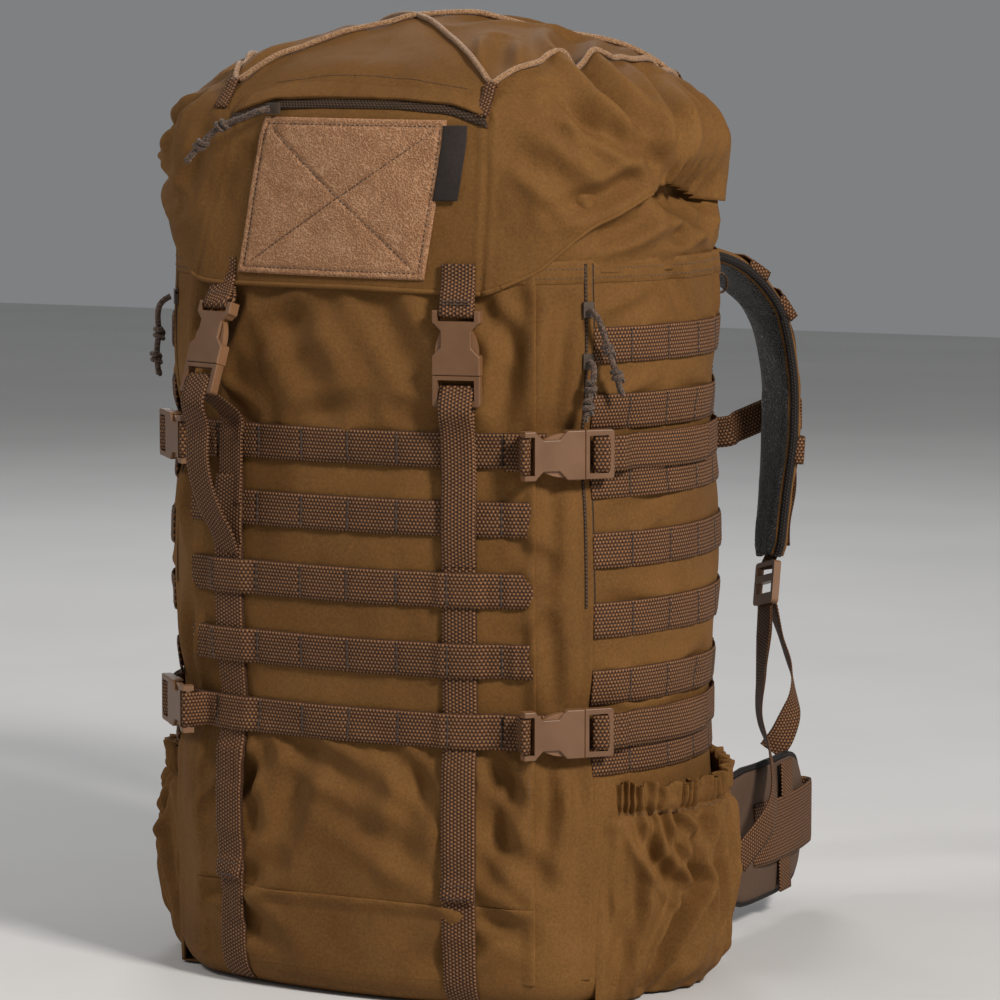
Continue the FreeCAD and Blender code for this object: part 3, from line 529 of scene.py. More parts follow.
THREAD_DARK = braid_material("dark thread", (0.012, 0.006, 0.004), (0.034, 0.017, 0.009),
                             (0.07, 0.036, 0.02), 0.6)
ALUMINIUM = metal_material("bare aluminium", (0.75, 0.76, 0.77))
STEEL = metal_material("spring wire", (0.6, 0.6, 0.6))


# ------------------------------------------------------------------ the bag's outline in plan

RIGHT_ARCS = (((136.0, -128.0), (151.0, -117.5), (163.0, -104.0)),
              ((163.0, -104.0), (199.0, -2.0), (171.0, 95.0)),
              ((171.0, 95.0), (164.0, 113.0), (148.0, 125.0)))
FRONT_ARC = ((-136.0, -128.0), (0.0, -150.0), (136.0, -128.0))


def arc(first, middle, last, count):
    """Points of the circle arc through three plan points."""
    ax, ay = first
    bx, by = middle
    cx, cy = last
    d = 2 * (ax * (by - cy) + bx * (cy - ay) + cx * (ay - by))
    a2, b2, c2 = ax * ax + ay * ay, bx * bx + by * by, cx * cx + cy * cy
    ux = (a2 * (by - cy) + b2 * (cy - ay) + c2 * (ay - by)) / d
    uy = (a2 * (cx - bx) + b2 * (ax - cx) + c2 * (bx - ax)) / d
    start = math.atan2(ay - uy, ax - ux)
    sweep = (math.atan2(cy - uy, cx - ux) - start) % (2 * math.pi)
    angle = start + sweep * np.linspace(0, 1, count)
    radius = math.hypot(ax - ux, ay - uy)
    return np.stack([ux + radius * np.cos(angle), uy + radius * np.sin(angle)], -1)


class Plan:
    """The bag's closed outline, walked by length from the middle of the front to +X."""

    def __init__(self, soften=7.0, count=2400):
        """Soften is how far, in millimetres, the corners between the arcs are smoothed."""
        right = [arc(*points, 200) for points in RIGHT_ARCS]
        half = np.vstack([arc(*FRONT_ARC, 400)[200:]] + right)
        left = half[::-1] * [-1.0, 1.0]
        line = np.vstack([half, left])
        run = arc_lengths(line)
        self.length = run[-1]
        xy = along_line(line, run, np.linspace(0, run[-1], count, endpoint=False))
        reach = 60
        kernel = np.exp(-(np.arange(-reach, reach + 1) * self.length / count / soften) ** 2)
        kernel /= kernel.sum()
        wide = np.vstack([xy[-reach:], xy, xy[:reach]])
        self.xy = np.stack([np.convolve(wide[:, k], kernel, "valid") for k in range(2)], -1)
        self.count = count
        tangent = unit(np.roll(self.xy, -1, 0) - np.roll(self.xy, 1, 0))
        self.out = np.stack([tangent[:, 1], -tangent[:, 0]], -1)

    def read(self, table, s):
        at = (np.asarray(s, float) / self.length * self.count) % self.count
        low = np.floor(at).astype(int) % self.count
        share = (at - np.floor(at))[..., None]
        return table[low] * (1 - share) + table[(low + 1) % self.count] * share

    def at(self, s):
        return self.read(self.xy, s)

    def normal(self, s):
        return unit(self.read(self.out, s))

    def find(self, x, y):
        """Signed length at the outline point nearest to x, y: + right, - left."""
        s = np.argmin((self.xy[:, 0] - x) ** 2 + (self.xy[:, 1] - y) ** 2) * self.length / self.count
        return s if s <= self.length / 2 else s - self.length


plan = Plan()
S_FRONT = plan.find(136.0, -128.0)
S_BAND = plan.find(151.0, -117.5)
S_ZIP = plan.find(163.0, -104.0)
S_BACK = plan.find(167.0, 106.0)
S_HALF = plan.length / 2

# the cloth's uneven surface, from broad to fine
noise_a = Noise(11)
noise_b = Noise(23)
noise_c = Noise(37)


def signed(s):
    """Length round the outline counted from the middle of the front, + right, - left."""
    return (np.asarray(s, float) + S_HALF) % plan.length - S_HALF


# ------------------------------------------------------------------ the filled bag's surface

# soft folds of the cloth: (s, z) start, (s, z) end, half width and depth, before the factors below
MAIN_FOLDS = (
    (-70.0, 172.0, -128.0, 120.0, 9.0, 2.6),
    (-35.0, 178.0, -60.0, 96.0, 12.0, 1.6),
    (60.0, 180.0, 40.0, 110.0, 13.0, 1.8),
    (118.0, 185.0, 104.0, 95.0, 11.0, 2.2),
    (150.0, 184.0, 140.0, 96.0, 9.0, 2.4),
    (152.0, 222.0, 146.0, 290.0, 8.0, 1.8),
    (150.0, 378.0, 146.0, 300.0, 8.0, 1.6),
    (112.0, 415.0, 128.0, 500.0, 10.0, 2.0),
    (150.0, 415.0, 158.0, 500.0, 8.0, 1.8),
    (-60.0, 500.0, -20.0, 430.0, 16.0, 1.8),
    (-118.0, 420.0, -128.0, 505.0, 10.0, 2.4),
    (20.0, 505.0, 60.0, 440.0, 14.0, 1.6),
    (-146.0, 378.0, -140.0, 330.0, 9.0, 2.4),
    (-150.0, 222.0, -142.0, 275.0, 9.0, 2.4),
    (-120.0, 70.0, -60.0, 32.0, 12.0, 2.0),
    (110.0, 66.0, 62.0, 28.0, 12.0, 2.0),
    (250.0, 530.0, 270.0, 490.0, 10.0, 1.6),
    (330.0, 528.0, 345.0, 470.0, 10.0, 1.6),
    (-250.0, 528.0, -270.0, 480.0, 10.0, 1.6),
    (-330.0, 528.0, -340.0, 470.0, 10.0, 1.6),
)
SMALL_FOLDS = (
    (-20.0, 495.0, -75.0, 470.0, 12.0, 3.4),
    (96.0, 505.0, 122.0, 470.0, 9.0, 3.8),
    (-96.0, 500.0, -118.0, 455.0, 9.0, 3.6),
    (40.0, 425.0, 95.0, 410.0, 9.0, 3.0),
    (-85.0, 414.0, -120.0, 432.0, 8.0, 3.4),
    (-40.0, 415.0, 10.0, 428.0, 10.0, 2.6),
    (128.0, 330.0, 146.0, 318.0, 8.0, 2.8),
    (126.0, 262.0, 145.0, 276.0, 8.0, 2.6),
    (-50.0, 185.0, 20.0, 150.0, 11.0, 3.4),
    (30.0, 186.0, 70.0, 140.0, 9.0, 3.2),
    (96.0, 190.0, 128.0, 150.0, 8.0, 4.0),
    (-100.0, 186.0, -80.0, 120.0, 9.0, 3.4),
    (-10.0, 140.0, 60.0, 100.0, 13.0, 2.4),
    (100.0, 140.0, 146.0, 90.0, 10.0, 3.6),
    (-60.0, 95.0, -128.0, 58.0, 10.0, 3.0),
    (70.0, 92.0, 132.0, 52.0, 10.0, 3.0),
    (160.0, 190.0, 172.0, 140.0, 8.0, 3.0),
    (190.0, 420.0, 240.0, 436.0, 8.0, 2.6),
    (186.0, 482.0, 236.0, 500.0, 8.0, 2.4),
    (200.0, 350.0, 260.0, 368.0, 9.0, 2.4),
    (190.0, 290.0, 250.0, 276.0, 9.0, 2.4),
    (240.0, 225.0, 300.0, 240.0, 8.0, 2.6),
    (190.0, 235.0, 225.0, 222.0, 7.0, 3.0),
    (270.0, 436.0, 330.0, 420.0, 9.0, 2.2),
    (-190.0, 420.0, -240.0, 436.0, 8.0, 2.6),
    (-200.0, 350.0, -260.0, 368.0, 9.0, 2.4),
    (-190.0, 290.0, -250.0, 276.0, 9.0, 2.4),
)
FOLD_WIDE = 0.95
MAIN_FOLD_DEEP = 2.57
SMALL_FOLD_DEEP = 1.35
FOLDS = [(*ends, width * FOLD_WIDE, depth * deep)
         for table, deep in ((MAIN_FOLDS, MAIN_FOLD_DEEP), (SMALL_FOLDS, SMALL_FOLD_DEEP))
         for *ends, width, depth in table]


def fold_depth(s, z):
    """Height of the soft folds: a valley along each one, with raised cloth beside it."""
    total = np.zeros(np.broadcast(s, z).shape)
    for s0, z0, s1, z1, width, depth in FOLDS:
        length2 = (s1 - s0) ** 2 + (z1 - z0) ** 2
        share = np.clip(((s - s0) * (s1 - s0) + (z - z0) * (z1 - z0)) / length2, 0.0, 1.0)
        away2 = (s - s0 - share * (s1 - s0)) ** 2 + (z - z0 - share * (z1 - z0)) ** 2
        fade = np.sin(math.pi * (0.12 + 0.76 * share))
        away = np.sqrt(away2) / width
        total += depth * fade * (0.75 * np.exp(-((away - 1.5) / 0.7) ** 2) - np.exp(-away ** 2))
    return total


def bulge(s, z):
    """How far the filled cloth stands outside its plan."""
    z = np.asarray(z, float)
    s = signed(s)
    side = np.abs(s)
    soft = 1.0 - smooth_step(side, S_BACK - 30, S_BACK + 10)
    corner = hump(side, S_BAND, 42.0)
    grip = 1.8 + 5.2 * corner + 2.0 * (s < 0) * corner
    pinch = hump(z, 205.0, 26.0) + hump(z, 396.0, 26.0)
    between = 2.6 * hump(z, 300.0, 58.0) + 3.0 * hump(z, 110.0, 60.0) + 2.4 * hump(z, 470.0, 45.0)
    waves = 2.6 * noise_a(s / 62.0, z / 85.0) + 1.3 * noise_b(s / 24.0, z / 38.0)
    fine = 0.28 * noise_c(s / 9.0, z / 14.0)
    flat = 1.0 - 0.85 * hump(side, S_ZIP, 9.0)
    return soft * (between - grip * pinch + flat * (waves + fine + fold_depth(s, z))) - 0.6


def taut(s, z):
    """Like bulge, but bridging hollows, as sewn webbing does."""
    steps = (-14.0, -7.0, 0.0, 7.0, 14.0)
    sharp = 0.9
    total = sum(np.exp(sharp * bulge(s + ds, z + dz)) for ds in steps for dz in steps)
    return np.log(total / len(steps) ** 2) / sharp


def skin(s, z, lift=0.0, surface=bulge):
    """Points on the bag's cloth at length s round it and height z."""
    s, z, lift = floats(s, z, lift)
    low = np.clip(BASE_ROUND - z, 0.0, BASE_ROUND)
    inset = BASE_ROUND - np.sqrt(np.maximum(BASE_ROUND ** 2 - low ** 2, 0.0))
    flat = plan.at(s)
    out = plan.normal(s)
    reach = surface(s, z) * smooth_step(z, 4.0, 40.0) + lift - inset
    return with_height(flat + out * reach[..., None], z)


def strap_skin(s, z, lift=0.0):
    """Points on the tight surface that webbing follows."""
    return skin(s, z, lift, taut)


def skin_normal(s, z):
    return with_height(plan.normal(floats(s, z)[0]), 0.0)


def cloth_patch(name, s_range, z_range, edges=(0.0, 0.0), top=0.0):
    """One sewn panel of the bag. A lapped edge is lifted over its neighbour and turned down."""
    s0, s1 = s_range
    z0, z1 = z_range
    step = 3.0
    s_values = np.unique(np.concatenate([np.linspace(s0, s1, max(3, int(abs(s1 - s0) / step))),
                                         [s0 + 0.5, s0 + 1.2, s1 - 1.2, s1 - 0.5]]))
    z_values = np.unique(np.concatenate([np.linspace(z0, z1, max(3, int((z1 - z0) / step))),
                                         [z1 - 1.2, z1 - 0.5]]))
    s, z = np.meshgrid(s_values, z_values, indexing="ij")
    lift = np.zeros(s.shape)
    for near, height in ((s - s0, edges[0]), (s1 - s, edges[1])):
        lift += height * (1.0 - smooth_step(near, 5.0, 8.0)) * smooth_step(near, -0.6, 0.9)
        lift -= 0.9 * (height > 0) * (near < 0.01)
    lift += top * (1.0 - smooth_step(z1 - z, 5.0, 9.0)) * smooth_step(z1 - z, -0.6, 0.9)
    return add_mesh(name, skin(s, z, lift).reshape(-1, 3), grid_faces(*s.shape), CLOTH, metre_uvs(s, z))


def seam_path(s, z, lift=1.2):
    return skin(s, z, lift), skin_normal(s, z)


PANEL_LOW = 22.0                # lower edge of the panels, under the base's rounded edge
# the CAD nodes that the panels stand for, in the order that the panels are made
PANEL_NODES = ("front_panels", "corner_bands", None, "side_panels", None, "back_panel", None, "base_panel")


def build_panels():
    """The bag's sewn panels, their seam threads and the band round their top."""
    top = HEM_TOP + 4
    spans = (("front_panel", -S_FRONT, S_FRONT, (1.9, 1.9), 70.0),
             ("band_panel_right", S_FRONT - 6, S_ZIP + 5, (0.0, 2.0), PANEL_LOW),
             ("band_panel_left", -S_ZIP - 5, -S_FRONT + 6, (2.0, 0.0), PANEL_LOW),
             ("side_panel_right", S_ZIP - 3, S_BACK + 2, (0.0, 1.0), PANEL_LOW),
             ("side_panel_left", -S_BACK - 2, -S_ZIP + 3, (1.0, 0.0), PANEL_LOW),
             ("back_panel", S_BACK - 2, plan.length - S_BACK + 2, (0.0, 0.0), PANEL_LOW))
    pieces = [cloth_patch(name, (s0, s1), (z0, top), edges) for name, s0, s1, edges, z0 in spans]
    pieces.append(cloth_patch("front_lower_panel", (-S_FRONT, S_FRONT), (20.0, 75.0), (1.9, 1.9), 2.0))
    pieces.append(base_piece())
    upright = np.linspace(24.0, HEM_TOP, 200)
    lines = [seam_path(np.full(200, s), upright)
             for s in (S_FRONT - 4.0, -S_FRONT + 4.0, S_ZIP + 1.0, -S_ZIP - 1.0, S_BACK - 2.5, -S_BACK + 2.5)]
    lines.append(seam_path(np.linspace(-S_FRONT + 2, S_FRONT - 2, 150), np.full(150, 71.0)))
    hem = np.linspace(0, plan.length, 500)
    lines += [seam_path(hem, np.full(500, HEM_TOP - down), 1.4) for down in (9.0, 2.5)]
    pieces.append(stitches("panel_stitching", lines, THREAD))
    pieces.append(hem_band())
    for piece in pieces:
        ride_slot(piece, "pack")
    for piece, node in zip(pieces, PANEL_NODES):
        if node:
            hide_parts(node)


def base_piece():
    """Rounded edge and flat bottom in one sheet."""
    s = np.linspace(0, plan.length, 361)[:-1]
    rows = [skin(s, np.full(s.shape, z)) for z in (24.0, 18.0, 13.0, 9.0, 5.5, 3.0, 1.3, 0.3)]
    last = rows[-1]
    centre = np.array([0.0, -10.0, 0.6])
    for share in (0.96, 0.85, 0.6, 0.3, 0.06):
        sag = 1.2 * noise_a(last[:, 0] * share / 50.0, last[:, 1] * share / 50.0)
        ring = centre + (last - centre) * share
        ring[:, 2] = 1.2 + sag * 0.6
        rows.append(ring)
    grid = np.stack(rows)
    rings, columns = grid.shape[:2]
    faces = grid_faces(rings, columns, wrap_columns=True, flip=True)
    faces.append([(rings - 1) * columns + k for k in reversed(range(columns))])
    uvs = metre_uvs(grid[..., 0], grid[..., 1] + grid[..., 2])
    return add_mesh("base_panel_cloth", grid.reshape(-1, 3), faces, CLOTH, uvs)


def hem_band():
    """Folded band round the top of the panels."""
    s = np.linspace(0, plan.length, 401)[:-1]
    profile = ((HEM_TOP - 13.0, 0.1), (HEM_TOP - 12.4, 1.1), (HEM_TOP - 7.0, 1.3), (HEM_TOP, 1.3),
               (HEM_TOP + 3.0, 1.0), (HEM_TOP + 3.6, 0.0), (HEM_TOP, -1.2))
    grid = np.stack([skin(s, np.full(s.shape, z), lift) for z, lift in profile])
    faces = grid_faces(*grid.shape[:2], wrap_columns=True)
    around, up = np.meshgrid(s, [height for height, lift in profile])
    return add_mesh("hem_band", grid.reshape(-1, 3), faces, CLOTH, metre_uvs(around, up))


# ------------------------------------------------------------------ webbing on the bag

def skin_strip(name, s_values, z_values, lift, lengthwise=True):
    """Webbing that follows the cloth; lift(s, z) is its inner face's height over the cloth."""
    s, z = np.meshgrid(s_values, z_values, indexing="ij")
    raise_by = lift(s, z)
    inner = strap_skin(s, z, raise_by)
    edge = np.linspace(-1, 1, len(z_values) if lengthwise else len(s_values))
    depth = 1.5 * (1.0 - 0.4 * smooth_step(np.abs(edge), 0.85, 1.0))
    outer = strap_skin(s, z, raise_by + (depth[None, :] if lengthwise else depth[:, None]))
    if lengthwise:
        return slab(name, outer, inner, STRAP, s, z - z_values.mean())
    return slab(name, outer, inner, STRAP, z, s - s_values.mean())


TACK = 38.0                     # distance between the bar tacks of a row
ROW_EDGES = np.linspace(-WEBBING / 2, WEBBING / 2, 8)


def tack_positions(limit):
    half = int(limit // TACK)
    return [k * TACK for k in range(-half, half + 1)]


def slack(s, tacks):
    """1 where a row's webbing stands free of the cloth, 0 at its tacks."""
    return 1.0 - np.clip(sum(hump(s, tack, 3.0) for tack in tacks), 0, 1)


def tack_bar(s, z0, lift):
    """Path of one bar tack over a row at height z0."""
    s = np.full(12, s)
    z = z0 + np.linspace(-11.0, 11.0, 12)
    return strap_skin(s, z, lift(s, z) + 1.62), skin_normal(s, z)


def strap_crossing(s, centre):
    """1 where a vertical front strap lies, falling to 0 beside it."""
    return 1.0 - smooth_step(np.abs(s - centre), WEBBING / 2 - 0.5, WEBBING / 2 + 9.0)


def build_front_rows():
    tacks = tack_positions(130.0)
    bars = []
    for number, z0 in enumerate(FRONT_ROWS):
        over = z0 < 320.0                       # the three lower rows lie over the straps

        def lift(s, z, over=over):
            value = 0.35 + 0.75 * slack(s, tacks) - (np.abs(s) > 133.0) * 0.2
            if over:
                value = value + 3.4 * sum(strap_crossing(s, plan.find(x, -140.0)) for x in STRAP_X)
            return value

        end = 146.0 if number in (0, 4) else 136.0
        row = skin_strip(f"front_row_{number + 1}", np.linspace(-end, end, 260), z0 + ROW_EDGES, lift)
        ride_slot(row, "pack")
        if number == 0:
            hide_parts("front_webbing")
        bars += [tack_bar(tack, z0, lift) for tack in tacks]
    bar_tacks("front_bar_tacks", bars)


def build_side_rows():
    middle = (S_ZIP + S_BACK) / 2
    reach = (S_BACK - S_ZIP) / 2 - 4.5
    bars = []
    for side, side_name in ((1, "right"), (-1, "left")):
        tacks = [side * (middle + tack) for tack in tack_positions(reach - 4)]

        def lift(s, z, tacks=tacks):
            return 0.3 + 0.7 * slack(s, tacks)

        s_values = np.linspace(middle - side * reach, middle + side * reach, 170) * side
        for number, z0 in enumerate(SIDE_ROWS):
            row = skin_strip(f"side_row_{side_name}_{number + 1}", s_values, z0 + ROW_EDGES, lift)
            ride_slot(row, "pack")
            if row.name == "side_row_right_1":
                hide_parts("side_webbing")
            bars += [tack_bar(tack, z0, lift) for tack in tacks]
    bar_tacks("side_bar_tacks", bars)


def build_front_straps():
    """Vertical straps: anchor webbing down to the base and the tail lying on it."""
    for x, side in zip(STRAP_X, ("right", "left")):
        s0 = plan.find(x, -140.0)
        s_values = s0 + np.linspace(-WEBBING / 2 + 0.3, WEBBING / 2 - 0.3, 8)

        def anchor_lift(s, z):
            return 0.4 + 2.2 * smooth_step(z, 318.0, 336.0)

        def tail_lift(s, z):
            fold = 1.7 * hump(z, 84.0, 4.0) + 1.5 * (1.0 - smooth_step(z, 92.0, 96.0))
            return 2.1 + fold

        anchor = skin_strip(f"front_strap_{side}", s_values, np.linspace(4.0, 372.0, 170), anchor_lift,
                            lengthwise=False)
        tail = skin_strip(f"front_strap_tail_{side}", s_values, np.linspace(79.0, 322.0, 130), tail_lift,
                          lengthwise=False)
        rows = []
        across = s0 + np.linspace(-10.0, 10.0, 12)
        for z in (82.0, 91.0):
            rows.append((strap_skin(across, z, 6.9), skin_normal(across, z)))
        marks = stitches(f"strap_end_stitching_{side}", rows, THREAD_DARK, 2.2, 1.6, 0.4)
        for piece in (anchor, tail, marks):
            ride_slot(piece, "pack")
        if side == "right":
            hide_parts("front_straps")


# ------------------------------------------------------------------ creases on any surface

def near_path(points, path):
    """Distance of each point from a path, and how far along it the nearest place is, 0 to 1."""
    path = np.asarray(path, float)
    run = arc_lengths(path)
    best = np.full(points.shape[:-1], 1e9)
    where = np.zeros(points.shape[:-1])
    for a, b, r0, r1 in zip(path, path[1:], run, run[1:]):
        ab = b - a
        share = np.clip(((points - a) @ ab) / (ab @ ab), 0, 1)
        away = np.linalg.norm(points - a - share[..., None] * ab, axis=-1)
        closer = away < best
        best = np.where(closer, away, best)
        where = np.where(closer, (r0 + share * (r1 - r0)) / run[-1], where)
    return best, where


def creases(points, paths):
    """Height of soft folds: a valley along each path, with raised cloth beside it."""
    total = np.zeros(points.shape[:-1])
    for width, depth, path in paths:
        away, along = near_path(points, path)
        fade = np.sin(math.pi * (0.10 + 0.80 * along))
        away = away / width
        total += depth * fade * (0.75 * np.exp(-((away - 1.6) / 0.7) ** 2) - np.exp(-away ** 2))
    return total


def opposite(paths):
    """The same folds on the other side of the bag."""
    return [(width, depth, [(-x, y, z) for x, y, z in path]) for width, depth, path in paths]


def deepened(paths, times):
    """The same folds at another depth."""
    return [(width, depth * times, path) for width, depth, path in paths]


# ------------------------------------------------------------------ lid

# the lid's upright section: height, then its shares of the bag's outline across and front to back
LID_PROFILE = ((495.0, 1.020, 1.020), (560.0, 1.026, 1.024), (605.0, 1.024, 1.024),
               (618.0, 1.012, 1.020), (630.0, 0.980, 1.010), (640.0, 0.928, 0.975),
               (650.0, 0.862, 0.912), (660.0, 0.775, 0.832), (671.0, 0.650, 0.710),
               (682.0, 0.495, 0.555), (691.0, 0.325, 0.380), (697.0, 0.140, 0.180),
               (698.5, 0.012, 0.016))
PROFILE_UNIT = 180.0            # a share of 1 in the profile stands for this length
LID_THICK = 2.2
LID_FLOOR_Z = 634.5
# the lid's lower edge from the front to the back, as (x, y, height)
RIM_RIGHT = ((0.0, -150.0, 509.0), (92.0, -139.7, 506.0), (101.0, -137.5, 506.5), (110.0, -134.0, 510.0),
             (136.0, -128.0, 522.0), (150.0, -118.0, 537.0), (163.0, -104.0, 552.0),
             (184.0, -50.0, 580.0), (192.0, -20.0, 581.0), (198.0, 20.0, 573.0), (190.0, 52.0, 567.0),
             (180.0, 76.0, 564.0), (172.0, 94.0, 572.0), (165.0, 108.0, 581.0), (148.0, 125.0, 585.0),
             (0.0, 125.0, 585.0))
RIM_LEFT = ((0.0, -150.0, 509.0), (-112.0, -134.0, 509.0), (-130.0, -129.5, 512.0),
            (-140.0, -126.0, 522.0), (-163.0, -104.0, 548.0), (-184.0, -50.0, 578.0),
            (-198.0, 0.0, 580.0), (-190.0, 52.0, 568.0), (-180.0, 76.0, 564.0),
            (-172.0, 94.0, 572.0), (-165.0, 108.0, 581.0), (-148.0, 125.0, 585.0), (0.0, 125.0, 585.0))

# folds as (half width, depth, path)
LID_FOLDS_RIGHT = [
    (11.0, 11.0, [(96, 10, 672), (118, -40, 664), (150, -68, 636), (180, -52, 608), (186, -46, 586)]),
    (8.0, 6.0, [(76, -62, 678), (96, -104, 652)]),
    (10.0, 8.5, [(150, 14, 656), (178, -18, 632), (189, -34, 594)]),
    (8.0, 7.5, [(136, -108, 632), (162, -88, 616), (182, -52, 600)]),
    (8.0, 6.0, [(142, -118, 564), (170, -88, 580), (184, -54, 594)]),
    (9.0, 5.5, [(128, 66, 660), (164, 46, 648), (188, 30, 622), (192, 22, 588)]),
    (8.0, 4.4, [(128, -96, 634), (158, -88, 600)]),
    (11.0, 4.6, [(56, 70, 684), (116, 88, 650)]),
    (8.0, 4.6, [(172, 84, 630), (174, 90, 578)]),
    (10.0, 4.8, [(122, -116, 604), (160, -98, 566)]),
    (9.0, 4.2, [(30, -40, 690), (60, 20, 689), (110, 40, 672)]),
]
LID_FOLDS_LEFT = opposite(LID_FOLDS_RIGHT[2:6]) + deepened([
    (8.0, 5.2, [(-106, -36, 670), (-124, -92, 644)]),
    (7.0, 4.6, [(-80, -62, 678), (-102, -112, 648)]),
    (11.0, 5.0, [(-130, -92, 634), (-152, -100, 576)]),
    (9.0, 4.4, [(-150, -60, 644), (-176, -66, 590)]),
    (8.0, 4.0, [(-116, -124, 622), (-136, -122, 566)]),
    (12.0, 3.6, [(-20, -60, 692), (-70, 10, 684), (-120, 30, 668)]),
], 0.7)
LID_SEAM_RIGHT = [(104, -137, 628), (104, -139, 590), (100, -140, 507)]
LID_SEAM_LEFT = [(-94, -140, 620), (-108, -137, 580), (-128, -132, 514)]

profile_scale = np.array([1.0, PROFILE_UNIT, PROFILE_UNIT])
profile = spline(LID_PROFILE * profile_scale, 500) / profile_scale
profile_run = arc_lengths(profile * profile_scale)
noise_lid = Noise(71)
noise_lid_fine = Noise(72)


def rim_height(s):
    """Height of the lid's lower edge at length s round the bag, with its corners rounded."""
    s = signed(s)

    def height(knots, at):
        stations = [abs(plan.find(x, y)) for x, y, z in knots[:-1]] + [S_HALF]
        return np.interp(at, stations, [z for x, y, z in knots])

    reach = np.linspace(-12, 12, 9)
    weight = np.exp(-(reach / 7.0) ** 2)
    weight /= weight.sum()
    total = np.zeros(s.shape)
    for step, share in zip(reach, weight):
        at = np.abs(s + step)
        total += share * np.where(s + step >= 0, height(RIM_RIGHT, at), height(RIM_LEFT, at))
    return total


def lid_smooth(s, run):
    """The lid without folds, at length s round the bag and a run up its profile."""
    shape = along_line(profile, profile_run, run)
    return with_height(plan.at(s) * shape[..., 1:], shape[..., 0])


def lid_normal(s, run):
    """Outward direction of the lid; near its top it is straight up."""
    turned = lid_smooth(s + 0.8, run) - lid_smooth(s - 0.8, run)
    raised = lid_smooth(s, np.minimum(run + 0.8, profile_run[-1])) - lid_smooth(s, run - 0.8)
    normal = unit(np.cross(turned, raised))
    top = smooth_step(run, profile_run[-1] - 14.0, profile_run[-1] - 4.0)[..., None]
    return unit(normal * (1 - top) + np.array([0.0, 0.0, 1.0]) * top)


def side_span(s):
    """1 along the middle of each side, 0 at the front and the back."""
    s = np.abs(signed(s))
    front = plan.find(188.0, -56.0)
    back = plan.find(182.0, 72.0)
    return smooth_step(s, front, front + 34.0) * (1.0 - smooth_step(s, back - 30.0, back))


def gather(s, z):
    """1 where elastic draws the lid's rim in over each side, 0 away from it."""
    return side_span(s) * (1.0 - smooth_step(z, 570.0, 604.0))


def lid_relief(s, place):
    """Height of the lid's folds, ripples and seams over its smooth shape."""
    x, y, z = np.moveaxis(place, -1, 0)
    # the front face is sewn flat between its two seams
    calm = smooth_step(np.abs(x + 4.0), 92.0, 118.0)
    calm = np.maximum(calm, smooth_step(z, 634.0, 652.0))
    calm = np.maximum(calm, smooth_step(y, -120.0, -60.0))
    wave = 3.6 * noise_lid(x / 55.0 + 3.0, (y + z) / 60.0) + 1.9 * noise_lid(x / 24.0, (y - z) / 30.0)
    wave += 0.35 * noise_lid_fine(x / 9.0, (y + z) / 12.0)
    relief = creases(place, LID_FOLDS)
    relief = relief + wave * (0.25 + 0.75 * calm) * (1 - smooth_step(z, 660.0, 690.0) * 0.5)
    ripple = np.sin(2 * math.pi * (s / 15.0 + 0.7 * noise_lid_fine(s / 21.0, z / 60.0)))
    near_rim = (1.0 - smooth_step(z, 585.0, 640.0)) * smooth_step(gather(s, z), 0.0, 0.4)
    relief = relief + 3.0 * ripple * near_rim
    for seam in (LID_SEAM_RIGHT, LID_SEAM_LEFT):
        away, _ = near_path(place, seam)
        relief = relief - 2.0 * np.exp(-(away / 1.9) ** 2) + 0.9 * np.exp(-((away - 4.5) / 3.0) ** 2)
    return relief


def lid_point(s, run, lift=0.0):
    """Points lifted off the lid's outer face, at length s round the bag and a run up its profile."""
    s, run, lift = floats(s, run, lift)
    smooth = lid_smooth(s, run)
    z = smooth[..., 2]
    puff = 3.0 * hump(s % plan.length, plan.find(176.0, 86.0), 34.0) * (z < 640)
    inward = -21.0 * gather(s, z) + puff + 5.0 * side_span(s) * hump(z, 618.0, 22.0)
    shift = with_height(plan.normal(s) * inward[..., None], 0.0)
    return smooth + lid_normal(s, run) * (lid_relief(s, smooth) + lift)[..., None] + shift


def run_at(z):
    """How far up the lid's profile a height lies."""
    return np.interp(z, profile[:, 0], profile_run)


def laid_on_lid(folds):
    """The same folds with every place of their paths moved onto the lid."""
    s, run = np.meshgrid(np.linspace(0, plan.length, 420), np.linspace(0, profile_run[-1], 150))
    places = lid_smooth(s, run).reshape(-1, 3)
    laid = []
    for width, depth, path in folds:
        near = [places[np.argmin(((places - place) ** 2).sum(1))] for place in spline(path, 4)]
        laid.append((width, depth, spline(near, 18)))
    return laid


LID_FOLDS = laid_on_lid(LID_FOLDS_RIGHT + LID_FOLDS_LEFT)


def build_lid():
    columns = 780
    rows = 170
    s = np.linspace(0, plan.length, columns, endpoint=False)
    low = run_at(rim_height(s))
    share = np.linspace(0, 1, rows) ** 0.9
    run = low[None, :] + (profile_run[-1] - low[None, :]) * share[:, None]
    s_grid = np.broadcast_to(s, run.shape)
    outer = lid_point(s_grid, run)
    edge = smooth_step(share, 0.0, 0.012)[:, None]
    inner = lid_point(s_grid, run, -LID_THICK * (0.3 + 0.7 * edge))
    points, faces = two_sheets(outer, inner)
    count = rows * columns
    faces += rim_faces(0, columns, count)
    top = (rows - 1) * columns
    faces.append([top + k for k in range(columns)])
    faces.append([top + count + k for k in reversed(range(columns))])
    uvs = metre_uvs(s_grid * np.interp(run, profile_run, profile[:, 1]), run)
    lid = add_mesh("lid_cloth", points, faces, CLOTH, np.concatenate([uvs, uvs]))
    ride_slot(lid, "lid")
    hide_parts("lid_shell")
    build_lid_lines()
    build_lid_floor()
    build_patch()
    build_tag()
    build_lid_zip()
    return lid


